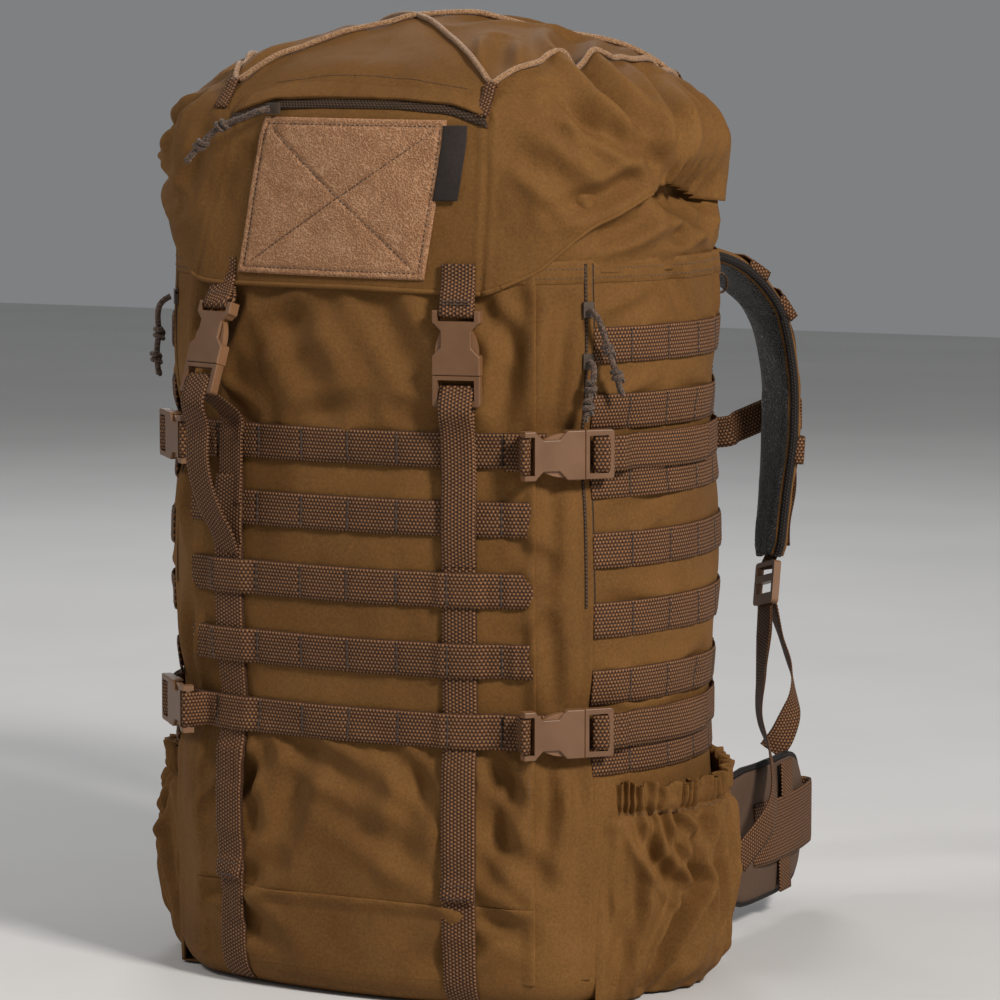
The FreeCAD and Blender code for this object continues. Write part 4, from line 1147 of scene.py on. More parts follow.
def lid_path(points, lift):
    """Points of a path given by (x, z) on the lid's front, with their outward directions."""
    dense = spline([(x, 0.0, z) for x, z in points], 160)
    s = np.array([plan.find(x, -140.0) for x in dense[:, 0]])
    s = np.convolve(np.pad(s, 6, "edge"), np.ones(13) / 13, "valid")
    run = run_at(dense[:, 2])
    return lid_point(s, run, lift), lid_normal(s, run)


def build_lid_lines():
    """Rolled lower edge of the lid's front and right side, and the thread over its zip."""
    corner = plan.find(112.0, -133.5)
    for name, first, last, count, lift, radius in (
            ("lid_edge_roll", plan.find(-132.0, -129.0), corner, 220, -0.6, 1.9),
            ("lid_side_roll", corner, plan.find(186.0, -62.0), 160, -0.4, 1.5)):
        s = np.linspace(first, last, count)
        roll = rod(name, lid_point(s, run_at(rim_height(s)) + 1.0, lift), radius, CLOTH, 10)
        ride_slot(roll, "lid")
    seam = lid_path(((-78.0, 650.0), (-20.0, 655.0), (40.0, 655.0), (98.0, 648.0)), 0.4)
    ride_slot(stitches("lid_stitching", [seam], THREAD), "lid")


def build_lid_floor():
    """Floor of the lid's pocket, sewn all round to the hood's inner face."""
    s = np.linspace(0, plan.length, 480, endpoint=False)
    edge = lid_point(s, run_at(LID_FLOOR_Z), -LID_THICK - 0.6)
    rings = [edge]
    for share in (0.92, 0.8, 0.6, 0.4, 0.2, 0.02):
        flat = edge[:, :2] * share
        sag = 1.5 * noise_lid(flat[:, 0] / 40.0, flat[:, 1] / 40.0)
        rings.append(with_height(flat, LID_FLOOR_Z + sag))
    rings = np.stack(rings[::-1])
    points, faces = two_sheets(rings, rings - [0, 0, 1.6], flip=True)
    columns = rings.shape[1]
    count = rings.shape[0] * columns
    faces += rim_faces(count - columns, columns, count, flip=True)
    faces.append(list(range(columns)))
    faces.append([k + count for k in reversed(range(columns))])
    floor = add_mesh("lid_floor_cloth", points, faces, CLOTH_DARK, points[:, :2] * MM)
    ride_slot(floor, "lid")
    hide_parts("lid_floor")


# lower left, lower right, upper right and upper left corner of the loop patch, as (x, z)
PATCH = ((-88.0, 518.0), (58.0, 516.0), (76.0, 627.0), (-66.0, 628.0))
PATCH_WIDE = 146.0
PATCH_HIGH = 110.0
SEWN_IN = 4.5                   # from the patch's edge to its stitching


def front_length(x):
    """Length round the bag at a place x on its front."""
    return np.arcsin(np.clip(x / FRONT_RADIUS, -1, 1)) * FRONT_RADIUS


def patch_place(p, q):
    """(s, run) at shares p across and q up the patch."""
    low_left, low_right, high_right, high_left = (np.array(corner) for corner in PATCH)
    p = np.asarray(p)[..., None]
    q = np.asarray(q)[..., None]
    place = (low_left * (1 - p) + low_right * p) * (1 - q) + (high_left * (1 - p) + high_right * p) * q
    return front_length(place[..., 0]), run_at(place[..., 1])


def build_patch():
    """Loop patch, sewn round its edge and across both diagonals."""
    p, q = np.meshgrid(np.linspace(0, 1, 120), np.linspace(0, 1, 90), indexing="ij")
    s, run = patch_place(p, q)
    border = np.minimum(np.minimum(p, 1 - p) * PATCH_WIDE, np.minimum(q, 1 - q) * PATCH_HIGH)
    sewn = np.exp(-((border - SEWN_IN) / 1.3) ** 2)
    cross = np.minimum(np.abs(p - q), np.abs(p - 1 + q)) * 88.0
    inside = smooth_step(border, 5.0, 9.0)
    sewn = np.maximum(sewn, np.exp(-(cross / 1.5) ** 2) * inside)
    ragged = 0.25 * noise_lid_fine(p * 40, q * 34)
    lift = 2.5 + ragged - 1.1 * sewn - 1.2 * (1 - smooth_step(border, 0.0, 1.6))
    patch = slab("lid_loop_patch", lid_point(s, run, lift), lid_point(s, run, 0.2), LOOP,
                 p * PATCH_WIDE, q * PATCH_HIGH)
    ride_slot(patch, "lid")
    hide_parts("lid_patch")
    t = np.linspace(0, 1, 120)
    a = SEWN_IN / PATCH_WIDE
    b = SEWN_IN / PATCH_HIGH
    across = a + t * (1 - 2 * a)
    upward = b + t * (1 - 2 * b)
    edges = ((across, 0 * t + b), (0 * t + 1 - a, upward), (across, 0 * t + 1 - b), (0 * t + a, upward),
             (across, upward), (across, 1 - upward))
    paths = []
    for p, q in edges:
        s, run = patch_place(p, q)
        paths.append((lid_point(s, run, 1.55), lid_normal(s, run)))
    thread = stitches("patch_stitching", paths, THREAD_DARK, pitch=3.6, length=2.6, radius=0.42)
    ride_slot(thread, "lid")


def build_tag():
    """Plain woven tag folded into the patch's right edge."""
    wide = 17.5
    a, q = np.meshgrid(np.linspace(0, 1, 14), np.linspace(0.50, 0.965, 40), indexing="ij")
    s, run = patch_place(np.full(q.shape, 0.985), q)
    s = s + a * wide
    lift = 2.7 + 0.8 * np.sin(a * math.pi) + 0.9 * a
    tag = slab("lid_side_tag", lid_point(s, run, lift), lid_point(s, run, lift - 0.8), TAG,
               a * wide, q * PATCH_HIGH)
    ride_slot(tag, "lid")
    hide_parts("lid_tag")


# the fold that covers the lid's zip, as (x, z) from left to right
ZIP_FOLD = ((-97.0, 629.0), (-66.0, 638.5), (-20.0, 640.0), (38.0, 640.0), (80.0, 637.0), (104.0, 629.0))


def build_lid_zip():
    """Cloth fold over the lid's zip, and the zip's tape under it."""
    x = np.linspace(ZIP_FOLD[0][0], ZIP_FOLD[-1][0], 170)
    fold = np.interp(x, [k[0] for k in ZIP_FOLD], [k[1] for k in ZIP_FOLD])
    window = np.hanning(19)
    fold = np.convolve(np.pad(fold, 9, "edge"), window / window.sum(), "valid")
    s = front_length(x)
    # the fold's section: distance up the lid, and height over it
    up = np.array([0.0, 0.25, 0.7, 1.5, 3.0, 6.0, 10.0, 14.0, 18.0, 21.0])
    raised = np.array([2.6, 3.6, 4.1, 4.2, 4.0, 3.4, 2.6, 1.8, 0.9, 0.2])
    s_grid = np.repeat(s[:, None], len(up), 1)
    run = run_at(fold)[:, None] + up[None, :]
    pucker = 0.5 * noise_lid_fine(s_grid / 7.0, run / 12.0)
    end = smooth_step(np.minimum(s - s[0], s[-1] - s), 0.0, 12.0)[:, None]
    lift = raised[None, :] * (0.35 + 0.65 * end) + pucker * end
    outer = lid_point(s_grid, run, lift)
    inner = lid_point(s_grid, run, np.maximum(lift - 1.8, 0.1))
    cover = slab("lid_zip_cover", outer, inner, CLOTH, s_grid, run)
    ride_slot(cover, "lid")
    run = run_at(fold)[:, None] + np.linspace(-9.0, 3.0, 6)[None, :]
    s_grid = np.repeat(s[:, None], 6, 1)
    tape = slab("lid_zip_tape", lid_point(s_grid, run, 1.1), lid_point(s_grid, run, 0.2), ZIP, s_grid, run)
    ride_slot(tape, "lid")
    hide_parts("lid_zip")


# corners of the lid's lacing and the routes of its elastic cord between them, (x, y)
LACE_LEFT_FRONT = (-105.0, -123.0)
LACE_RIGHT_FRONT = (101.0, -128.0)
LACE_RIGHT_BACK = (146.0, 88.0)
LACE_LEFT_BACK = (-146.0, 88.0)
LACE_RADIUS = 2.1


def over_lid(tree, line, lift):
    """Raise (x, y) places to the lid's outer surface, plus a lift along its normal."""
    raised = []
    for x, y in line:
        hit, normal, _, _ = tree.ray_cast(Vector((x * MM, y * MM, 0.9)), Vector((0, 0, -1)))
        if hit is None:
            hit, normal, _, _ = tree.find_nearest(Vector((x * MM, y * MM, 0.63)))
        raised.append([c / MM + n * lift for c, n in zip(hit, normal)])
    line = np.array(raised)
    kernel = np.array([0.25, 0.5, 0.25])
    for _ in range(6):
        # smooth the line, but never lower it into the cloth
        inner = np.stack([np.convolve(line[:, k], kernel, "valid") for k in range(3)], -1)
        line[1:-1] = np.maximum(inner, line[1:-1] * [0, 0, 1] + inner * [1, 1, 0])
    return line


def build_laces(lid):
    bpy.context.view_layer.update()
    tree = BVHTree.FromObject(lid, bpy.context.evaluated_depsgraph_get())

    def route(corners, bows):
        line = []
        for (a, b), bow in zip(zip(corners, corners[1:]), bows):
            t = np.linspace(0, 1, 60, endpoint=False)
            x = a[0] + (b[0] - a[0]) * t + bow * np.sin(math.pi * t)
            y = a[1] + (b[1] - a[1]) * t
            line += list(zip(x, y))
        return line + [corners[-1]]

    one = route((LACE_LEFT_BACK, LACE_RIGHT_FRONT, LACE_RIGHT_BACK), (3.0, 13.0))
    two = route((LACE_RIGHT_BACK, LACE_LEFT_FRONT, LACE_LEFT_BACK), (-3.0, -13.0))
    for name, line in (("lid_lace_one", one), ("lid_lace_two", two)):
        points = over_lid(tree, line, LACE_RADIUS + 0.2)
        lace = rod(name, spline(points[::3], 420), LACE_RADIUS, LACE, 12)
        ride_slot(lace, "lid")
        if name == "lid_lace_one":
            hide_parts("lid_lace")
    # each corner's webbing loop, and the direction it is sewn down in
    corners = ((LACE_LEFT_FRONT, (-0.20, -0.98)), (LACE_RIGHT_FRONT, (-0.05, -1.0)),
               (LACE_RIGHT_BACK, (0.83, 0.55)), (LACE_LEFT_BACK, (-0.83, 0.55)))
    for number, ((x, y), (ox, oy)) in enumerate(corners):
        away = np.linspace(0, 17, 10)
        line = over_lid(tree, [(x + ox * (t - 2.0), y + oy * (t - 2.0)) for t in away], 1.0)
        lift = 4.6 * np.exp(-(away / 4.5) ** 2)
        line = line + np.array([ox * 0.3, oy * 0.3, 0.9]) * lift[:, None]
        head = line[0] + np.array([-ox * 2.4, -oy * 2.4, -3.0])
        line = np.vstack([head, line])
        width = np.interp(np.linspace(0, 1, len(line)), [0, 0.3, 1], [8.0, 9.5, 11.0])
        tab = ribbon(f"lid_lace_tab_{number + 1}", line, (-oy, ox, 0.0), width, 1.5)
        ride_slot(tab, "lid")
        if number == 0:
            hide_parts("lid_loops")


# ------------------------------------------------------------------ collar

COLLAR_FOLDS = deepened([
    (8.0, 4.0, [(198, 12, 566), (194, -14, 546), (182, -58, 536)]),
    (9.0, 4.2, [(190, -44, 580), (197, 0, 562), (192, 48, 540)]),
    (9.0, 4.2, [(160, -106, 540), (180, -64, 558), (188, -46, 582)]),
    (7.0, 3.2, [(150, -118, 575), (162, -106, 548)]),
    (8.0, 2.8, [(198, -8, 600), (196, -22, 545)]),
    (9.0, 3.4, [(186, 66, 585), (196, 26, 545)]),
    (8.0, 2.6, [(176, 88, 570), (170, 104, 540)]),
], 1.6)
# the collar's section: height and its share of the bag's outline
COLLAR_PROFILE = ((520.0, 0.994), (535.0, 0.997), (598.0, 0.985), (606.0, 0.93), (611.0, 0.80), (616.0, 0.60))
noise_collar = Noise(91)


def collar_point(s, z, lift=0.0):
    """Points of the collar's cloth, tucked in where the lid's gathered sides press on it."""
    s, z, lift = floats(s, z, lift)
    share = np.interp(z, *zip(*COLLAR_PROFILE))
    smooth = with_height(plan.at(s) * share[..., None], z)
    body = smooth_step(z, 526.0, 542.0) * (1.0 - smooth_step(z, 588.0, 606.0))
    relief = creases(smooth, COLLAR_FOLDS) + creases(smooth, opposite(COLLAR_FOLDS))
    side = np.abs(signed(s))
    free = smooth_step(side, S_FRONT + 14, S_FRONT + 45) * (1.0 - smooth_step(side, S_BACK - 25, S_BACK + 5))
    relief = (relief + 3.2 * noise_collar(s / 30.0, z / 20.0)) * (0.15 + 0.85 * free) + 2.2 * free
    pleat = 1.5 * np.sin(2 * math.pi * (s / 19.0 + noise_collar(s / 40.0, 3.0)))
    relief = relief * body + pleat * smooth_step(z, 590.0, 612.0)
    pressed = side_span(s) * smooth_step(z, 552.0, 574.0) * (1.0 - smooth_step(z, 596.0, 612.0))
    reach = relief * (1.0 - 0.6 * pressed) - 25.0 * pressed + lift
    return smooth + with_height(plan.normal(s) * reach[..., None], 0.0)


def build_collar():
    """The collar's cloth, and the drawcord that closes its mouth."""
    s = np.linspace(0, plan.length, 620, endpoint=False)
    z = np.concatenate([np.linspace(521.0, 598.0, 52), np.linspace(599.0, 616.0, 26)])
    zz, ss = np.meshgrid(z, s, indexing="ij")
    inner = collar_point(ss, zz, -1.5)
    inner[..., 2] -= 1.2 * smooth_step(zz, 600.0, 612.0)
    points, faces = two_sheets(collar_point(ss, zz), inner)
    rows, columns = zz.shape
    faces += rim_faces((rows - 1) * columns, columns, rows * columns, flip=True)
    faces += rim_faces(0, columns, rows * columns)
    uvs = metre_uvs(ss, zz)
    collar = add_mesh("collar_cloth", points, faces, CLOTH, np.concatenate([uvs, uvs]))
    ride_slot(collar, "pack")
    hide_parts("collar")
    angle = np.radians(np.linspace(-84, 264, 200))
    mouth = plan.at(s) * 0.595
    around = np.unwrap(np.arctan2(mouth[:, 1], mouth[:, 0]))
    x, y = (np.interp(angle, around, mouth[:, k], period=2 * math.pi) for k in range(2))
    line = np.stack([x, y, 618.0 + 0.3 * noise_collar(x / 20, y / 20)], -1)
    drawcord = rod("collar_drawcord", line, 1.9, DARK_CORD, 10)
    ride_slot(drawcord, "pack")
    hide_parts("drawcord")


# ------------------------------------------------------------------ side pockets

POCKET_ARC = ((168.0, -97.0), (221.0, 0.0), (174.5, 93.0))
POCKET_TOP = 162.0
POCKET_CHANNEL = 139.0
noise_pocket = Noise(131)
noise_pocket_fine = Noise(132)
pocket_plan = arc(*POCKET_ARC, 600)
pocket_run = arc_lengths(pocket_plan)

# folds of the pocket as (half width, depth, path), each path of (share along the arc, height)
POCKET_FOLDS = (
    (6.0, 7.0, ((0.40, 126.0), (0.345, 98.0), (0.37, 84.0), (0.30, 60.0), (0.19, 12.0))),
    (6.5, 4.6, ((0.14, 132.0), (0.20, 104.0), (0.30, 78.0))),
    (6.0, 4.4, ((0.50, 132.0), (0.47, 96.0), (0.53, 40.0))),
    (5.0, 4.0, ((0.30, 134.0), (0.34, 112.0))),
    (6.0, 4.0, ((0.60, 132.0), (0.62, 92.0), (0.57, 24.0))),
    (6.0, 3.6, ((0.72, 134.0), (0.70, 90.0), (0.73, 30.0))),
    (6.0, 3.6, ((0.84, 134.0), (0.80, 84.0), (0.84, 20.0))),
    (8.0, 3.0, ((0.08, 120.0), (0.12, 70.0), (0.08, 20.0))),
    (9.0, 3.2, ((0.42, 60.0), (0.36, 30.0), (0.24, 6.0))),
    (7.0, 3.0, ((0.66, 70.0), (0.65, 8.0))),
)
POCKET_FOLD_DEEP = 1.69
POCKET_PATHS = [(width, depth, [(share * pocket_run[-1], 0.0, height) for share, height in path])
                for width, depth, path in deepened(POCKET_FOLDS, POCKET_FOLD_DEEP)]


def pocket_point(p, z, lift=0.0):
    """Points of the right pocket's cloth, at share p along its arc and height z."""
    p, z, lift = floats(p, z, lift)
    at = p * pocket_run[-1]
    spot = along_line(pocket_plan, pocket_run, at)
    tangent = unit(along_line(pocket_plan, pocket_run, at + 1) - along_line(pocket_plan, pocket_run, at - 1))
    out = np.stack([tangent[..., 1], -tangent[..., 0]], -1)
    sewn = smooth_step(np.minimum(p, 1 - p), 0.0, 0.07)
    channel = smooth_step(z, POCKET_CHANNEL - 3, POCKET_CHANNEL + 2)
    folds = creases(np.stack([at, np.zeros_like(at), z], -1), POCKET_PATHS)
    soft = 4.6 * noise_pocket(p * 13 + z / 210.0, z / 80.0) + 2.4 * noise_pocket_fine(p * 28, z / 38.0)
    fan = 3.6 * np.sin(2 * math.pi * (p * 13 + noise_pocket(p * 6, z / 120))) * smooth_step(z, 60.0, 132.0)
    ruffle = 3.8 * np.sin(2 * math.pi * (p * 23 + 0.9 * noise_pocket_fine(p * 13, z / 60)))
    ruffle = ruffle * (0.75 + 0.25 * smooth_step(z, 150, 162)) + 1.2 * noise_pocket_fine(p * 60, z / 9.0)
    gathered = -3.0 * hump(z, POCKET_CHANNEL, 5.0) - 2.2 * channel
    relief = (folds + soft + fan) * (1 - channel) + ruffle * channel + gathered
    foot = -14.0 * (1.0 - smooth_step(z, 0.0, 30.0)) ** 2 - 8.0 * (1.0 - smooth_step(z, 0.0, 80.0))
    reach = relief * sewn + foot * smooth_step(np.minimum(p, 1 - p), 0.0, 0.25) + lift
    height = z + 2.0 * np.sin(p * 71) * smooth_step(z, 152, 162) * sewn
    drop = 6.0 * np.sin(math.pi * p) * smooth_step(z, 120.0, 162.0)
    return with_height(spot + out * reach[..., None], height - drop)


def build_pockets():
    p = np.linspace(0, 1, 300)
    z = np.concatenate([np.linspace(2.0, POCKET_CHANNEL - 4, 66),
                        np.linspace(POCKET_CHANNEL - 3, POCKET_TOP, 20)])
    pp, zz = np.meshgrid(p, z, indexing="ij")
    outer = pocket_point(pp, zz)
    inner = pocket_point(pp, zz, -2.0)
    right = slab("side_pocket_right", outer, inner, CLOTH, pp * pocket_run[-1], zz)
    low = outer[:, 0]
    close = with_height(low[:, :2] * [0.9, 1.0], 2.0)
    steps = np.linspace(0, 1, 6)[None, :, None]
    base = low[:, None] * (1 - steps) + close[:, None] * steps
    under = slab("pocket_floor_right", base + [0, 0, 0.8], base, CLOTH, base[..., 0], base[..., 1])
    line = pocket_point(p[6:-6], np.full(288, POCKET_CHANNEL), 0.4)
    ahead = unit(np.gradient(line, axis=0))
    out = np.stack([ahead[:, 1], -ahead[:, 0], np.zeros(len(line))], -1)
    thread = stitches("pocket_stitching_right", [(line, out)], THREAD)
    for piece in (right, under, thread):
        both_sides(piece)
    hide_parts("side_pockets")


# ------------------------------------------------------------------ webbing at the buckles

LEFT_TURN = math.radians(20.0)      # the left lid buckle hangs turned by this about the upright
LEFT_TILT = math.radians(18.0)      # and with its top leaning back by this
LEFT_BACK = np.array([math.sin(LEFT_TURN), math.cos(LEFT_TURN), 0.0])
LEFT_UP = LEFT_BACK * math.sin(LEFT_TILT) + [0.0, 0.0, math.cos(LEFT_TILT)]
LEFT_OUT = [0.0, 0.0, math.sin(LEFT_TILT)] - LEFT_BACK * math.cos(LEFT_TILT)
LEFT_ORIGIN = np.array([-108.756, -161.816, 453.202])       # the middle of its mouth
RIGHT_SLOPE = math.asin(STRAP_X[0] / FRONT_RADIUS)
RIGHT_UP = np.array([0.0, 0.0, 1.0])
RIGHT_OUT = np.array([math.sin(RIGHT_SLOPE), -math.cos(RIGHT_SLOPE), 0.0])
FEMALE_BAR = 43.2           # from a buckle's mouth to the middle of its female bar
MALE_BAR = -10.3            # and to the middle of its male bar


def frame_path(origin, up, out, steps):
    """Points from (along, outward) steps in a buckle's own frame."""
    return np.array([origin + up * a + out * o for a, o in steps])


def right_origin():
    """The middle of the right lid buckle's mouth."""
    y = float(plan.at(plan.find(STRAP_X[0], -140.0))[1])
    return np.array([STRAP_X[0], y, 451.0]) + RIGHT_OUT * 8.6


RIGHT_BUCKLE = ("right", right_origin(), RIGHT_UP, RIGHT_OUT)
LEFT_BUCKLE = ("left", LEFT_ORIGIN, LEFT_UP, LEFT_OUT)


def build_lid_straps():
    """Webbing from under the lid's edge, round each female buckle's bar."""
    for (name, origin, up, out), x in ((RIGHT_BUCKLE, STRAP_X[0]), (LEFT_BUCKLE, -104.0)):
        across = np.cross(out, up)
        bar = frame_path(origin, up, out, ((FEMALE_BAR + 1.5, 3.2), (FEMALE_BAR - 1.5, 2.9),
                                           (FEMALE_BAR - 3.0, 0.0), (FEMALE_BAR - 1.5, -2.4),
                                           (FEMALE_BAR + 1.5, -2.6)))
        flat = np.array([out[0], out[1], 0.0])
        flat /= np.linalg.norm(flat)
        wall = skin(plan.find(x, -140.0), 500.0)
        top = np.array([wall[0], wall[1], 0.0])
        front = [top + flat * 3.4 + [0, 0, 528.0], top + flat * 4.0 + [0, 0, 516.0],
                 top + flat * 7.6 + [0, 0, 505.0]]
        back = [top + flat * 4.6 + [0, 0, 503.0], top + flat * 2.0 + [0, 0, 516.0]]
        line = spline(np.vstack([front, bar, back]), 90)
        strap = ribbon(f"lid_strap_{name}", line, across)
        ride_slot(strap, "lid")
        width = across * np.linspace(-10.5, 10.5, 12)[:, None]
        marks = [(top + flat * 10.2 + [0, 0, z] + width, flat) for z in (500.5, 502.5)]
        tacks = stitches(f"lid_strap_tacks_{name}", marks, THREAD_DARK, 1.2, 1.0, 0.5)
        ride_slot(tacks, "lid")
        if name == "right":
            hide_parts("lid_straps")


def build_strap_tails():
    """The front straps' upper ends, round the male buckles' bars, and their hanging tails."""
    for (name, origin, up, out), x in zip((RIGHT_BUCKLE, LEFT_BUCKLE), STRAP_X):
        across = np.cross(out, up)
        s0 = plan.find(x, -140.0)

        def on_bag(z, lift, s0=s0):
            return strap_skin(s0, z, lift)

        behind = frame_path(origin, up, out, ((MALE_BAR - 8.0, -1.6), (MALE_BAR - 2.5, -2.6)))
        over = frame_path(origin, up, out, ((MALE_BAR + 2.6, 0.4), (MALE_BAR - 2.4, 2.9)))
        anchor = [on_bag(z, lift) for z, lift in ((352.0, 2.6), (372.0, 2.8), (398.0, 3.2), (416.0, 3.6))]
        line = spline(np.vstack([anchor, behind, over[:1]]), 90)
        lower = ribbon(f"strap_anchor_{name}", line, across)
        if name == "right":
            hang = [on_bag(z, lift) for z, lift in ((425.0, 12.5), (408.0, 8.6), (380.0, 7.0), (362.0, 6.4),
                                                     (345.0, 6.0), (330.0, 5.0), (316.0, 3.0))]
        else:
            hang = [origin - up * 30.0 + out * 3.2, np.array([-112.5, -166.5, 408.0]),
                    np.array([-113.5, -166.0, 388.0]), np.array([-112.0, -163.0, 368.0]),
                    np.array([-108.0, -157.0, 348.0]), np.array([-103.0, -150.5, 332.0]),
                    on_bag(316.0, 3.0)]
        line = spline(np.vstack([over, hang]), 130)
        tail = ribbon(f"strap_tail_{name}", line, across)
        for piece in (lower, tail):
            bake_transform(piece)


SIDE_TURN = math.radians(44.0)      # the compression buckles' turn about the upright
SIDE_UP = np.array([-math.sin(SIDE_TURN), -math.cos(SIDE_TURN), 0.0])
SIDE_OUT = np.array([math.cos(SIDE_TURN), -math.sin(SIDE_TURN), 0.0])
SIDE_ORIGIN_XY = (165.4975, -113.428)       # the middle of their mouths


def build_compression_straps():
    """Webbing from the back round the side to each compression buckle's male half."""
    for height_name, z in (("lower", COMPRESSION_ROWS[0]), ("upper", COMPRESSION_ROWS[1])):
        origin = np.array([*SIDE_ORIGIN_XY, z])
        s_line = np.linspace(S_BACK - 6.0, S_ZIP + 42.0, 14)
        body = [strap_skin(s, z, 3.4 + 0.7 * math.sin(s / 9.0)) for s in s_line]
        bar = frame_path(origin, SIDE_UP, SIDE_OUT, ((MALE_BAR - 22.0, -3.0), (MALE_BAR - 8.0, -3.0),
                                                     (MALE_BAR - 2.4, -2.7), (MALE_BAR + 2.6, 0.0),
                                                     (MALE_BAR - 2.4, 2.8), (MALE_BAR - 9.0, 2.6)))
        tail = [strap_skin(S_ZIP + s, z - drop, lift) for s, drop, lift in
                ((38.0, 0.0, 7.4), (62.0, 0.5, 6.0), (96.0, 1.0, 6.6), (128.0, 1.0, 5.6))]
        line = spline(np.vstack([body, bar, tail]), 210)
        right = ribbon(f"compression_strap_{height_name}_right", line, (0.0, 0.0, 1.0))
        left = mirror_mesh(f"compression_strap_{height_name}_left", right)
        for piece, side, sign in ((right, "right", 1.0), (left, "left", -1.0)):
            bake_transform(piece)
            if side == "right" and height_name == "lower":
                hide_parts("compression_straps")
        # short webbing from the front row to the female half
        female = frame_path(origin, SIDE_UP, SIDE_OUT, ((FEMALE_BAR + 2.0, -2.8), (FEMALE_BAR - 1.6, -2.5),
                                                        (FEMALE_BAR - 3.0, 0.0), (FEMALE_BAR - 1.4, 2.9),
                                                        (FEMALE_BAR + 3.0, 2.6)))
        lead = [strap_skin(S_FRONT - 20.0, z, 1.2), strap_skin(S_FRONT - 8.0, z, 1.6)]
        ends = [strap_skin(S_FRONT - 12.0, z, 5.4), strap_skin(S_FRONT - 22.0, z, 3.4)]
        line = spline(np.vstack([lead, female, ends]), 70)
        both_sides(ribbon(f"compression_stub_{height_name}_right", line, (0.0, 0.0, 1.0)))


# ------------------------------------------------------------------ zips and their pull cords

# the pull cords' routes from each slider's eye, in metres
PULL_UPPER_M = ((0.1682, -0.1079, 0.4960), (0.1744, -0.1113, 0.4930), (0.1785, -0.1100, 0.4830),
                (0.1799, -0.1048, 0.4690), (0.1846, -0.1018, 0.4540), (0.1860, -0.0959, 0.4380))
PULL_LOWER_M = ((0.1682, -0.1079, 0.4600), (0.1731, -0.1122, 0.4575), (0.1738, -0.1146, 0.4500),
                (0.1715, -0.1151, 0.4410), (0.1715, -0.1176, 0.4310), (0.1687, -0.1180, 0.4210))
PULL_LID_M = ((-0.0587, -0.1548, 0.6340), (-0.0653, -0.1590, 0.6325), (-0.0764, -0.1589, 0.6280),
              (-0.0902, -0.1564, 0.6245), (-0.1045, -0.1569, 0.6170), (-0.1164, -0.1557, 0.6060),
              (-0.1257, -0.1574, 0.5960))
PULL_DIAMETER_M = 0.0044
PULL_POINTS = 60


def pull_cord(name, route, body, node):
    """Braided pull cord along its route, doubled and knotted at its end."""
    curve = bpy.data.curves.new(name, "CURVE")
    curve.dimensions = "3D"
    line = curve.splines.new("NURBS")
    line.points.add(len(route) - 1)
    for point, place in zip(line.points, route):
        point.co = (*place, 1.0)
    line.order_u = 3
    line.use_endpoint_u = True
    line.resolution_u = 12
    curve.bevel_depth = PULL_DIAMETER_M / 2
    curve.bevel_resolution = 4
    curve.use_fill_caps = True
    cord = add_object(name, curve)
    curve.materials.append(DARK_CORD)
    ride_slot(cord, body)
    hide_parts(node)
    dense = spline(np.array(route) / MM, PULL_POINTS)
    last = PULL_POINTS - 1
    pieces = []
    for number, share in enumerate((0.52, 0.80)):
        k = int(share * last)
        ahead = unit(dense[k + 1] - dense[k - 1])
        side = unit(np.cross(ahead, [0.3, 0.2, 0.9]))
        other = np.cross(ahead, side)
        angle = np.linspace(0, 2 * math.pi * 1.9, 46)
        coil = (dense[k] + np.outer(np.linspace(-4.4, 4.4, 46), ahead)
                + np.outer(np.cos(angle) * 3.1, side) + np.outer(np.sin(angle) * 2.7, other))
        pieces.append(rod(f"{name}_knot_{number + 1}", coil, 1.9, DARK_CORD, 8))
    ahead = unit(dense[last] - dense[last - 3])
    fray = [dense[last - 3], dense[last - 1] + ahead + [1.0, 0, 0],
            dense[last] + ahead * 2.0 + [1.6, -0.6, 0]]
    radii = [2.3, 2.4, 2.3, 2.2, 2.0, 1.8, 1.4, 0.8]
    pieces.append(rod(f"{name}_end", spline(fray, len(radii)), radii, DARK_CORD, 8))
    for piece in pieces:
        ride_slot(piece, body)


def build_zips():
    """The side zips' tapes and every slider's pull cord."""
    s, z = np.meshgrid(S_ZIP + np.linspace(-2.0, 6.0, 6), np.linspace(287.0, 528.0, 120), indexing="ij")
    right = slab("side_zip_right", skin(s, z, 1.4), skin(s, z, 0.2), ZIP, z, s)
    both_sides(right)
    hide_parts("side_zips")
    pull_cord("pull_upper_right", PULL_UPPER_M, "zip_slider_upper_right", "zip_pull_upper_right")
    pull_cord("pull_lower_right", PULL_LOWER_M, "zip_slider_lower_right", "zip_pull_lower_right")
    mirrored = tuple((-x, y, z) for x, y, z in PULL_UPPER_M)
    pull_cord("pull_left", mirrored, "zip_slider_left", "zip_pull_left")
    pull_cord("pull_lid", PULL_LID_M, "lid_zip_slider", "lid_zip_pull")


# ------------------------------------------------------------------ harness

# right shoulder pad: centre line and the turn of its width about the upright, degrees
PAD_LINE = ((58.0, 134.5, 455.0, 0.0), (62.0, 141.0, 495.0, 0.0), (72.0, 172.0, 516.0, 0.0),
            (90.0, 222.0, 518.0, -10.0), (108.0, 270.0, 503.0, -25.0), (127.0, 306.0, 470.0, -42.0),
            (134.0, 322.0, 420.0, -46.0), (134.0, 324.0, 370.0, -46.0), (132.0, 319.0, 320.0, -46.0),
            (131.0, 311.0, 275.0, -42.0))
PAD_WIDTH = 64.0
PAD_THICK = 14.0


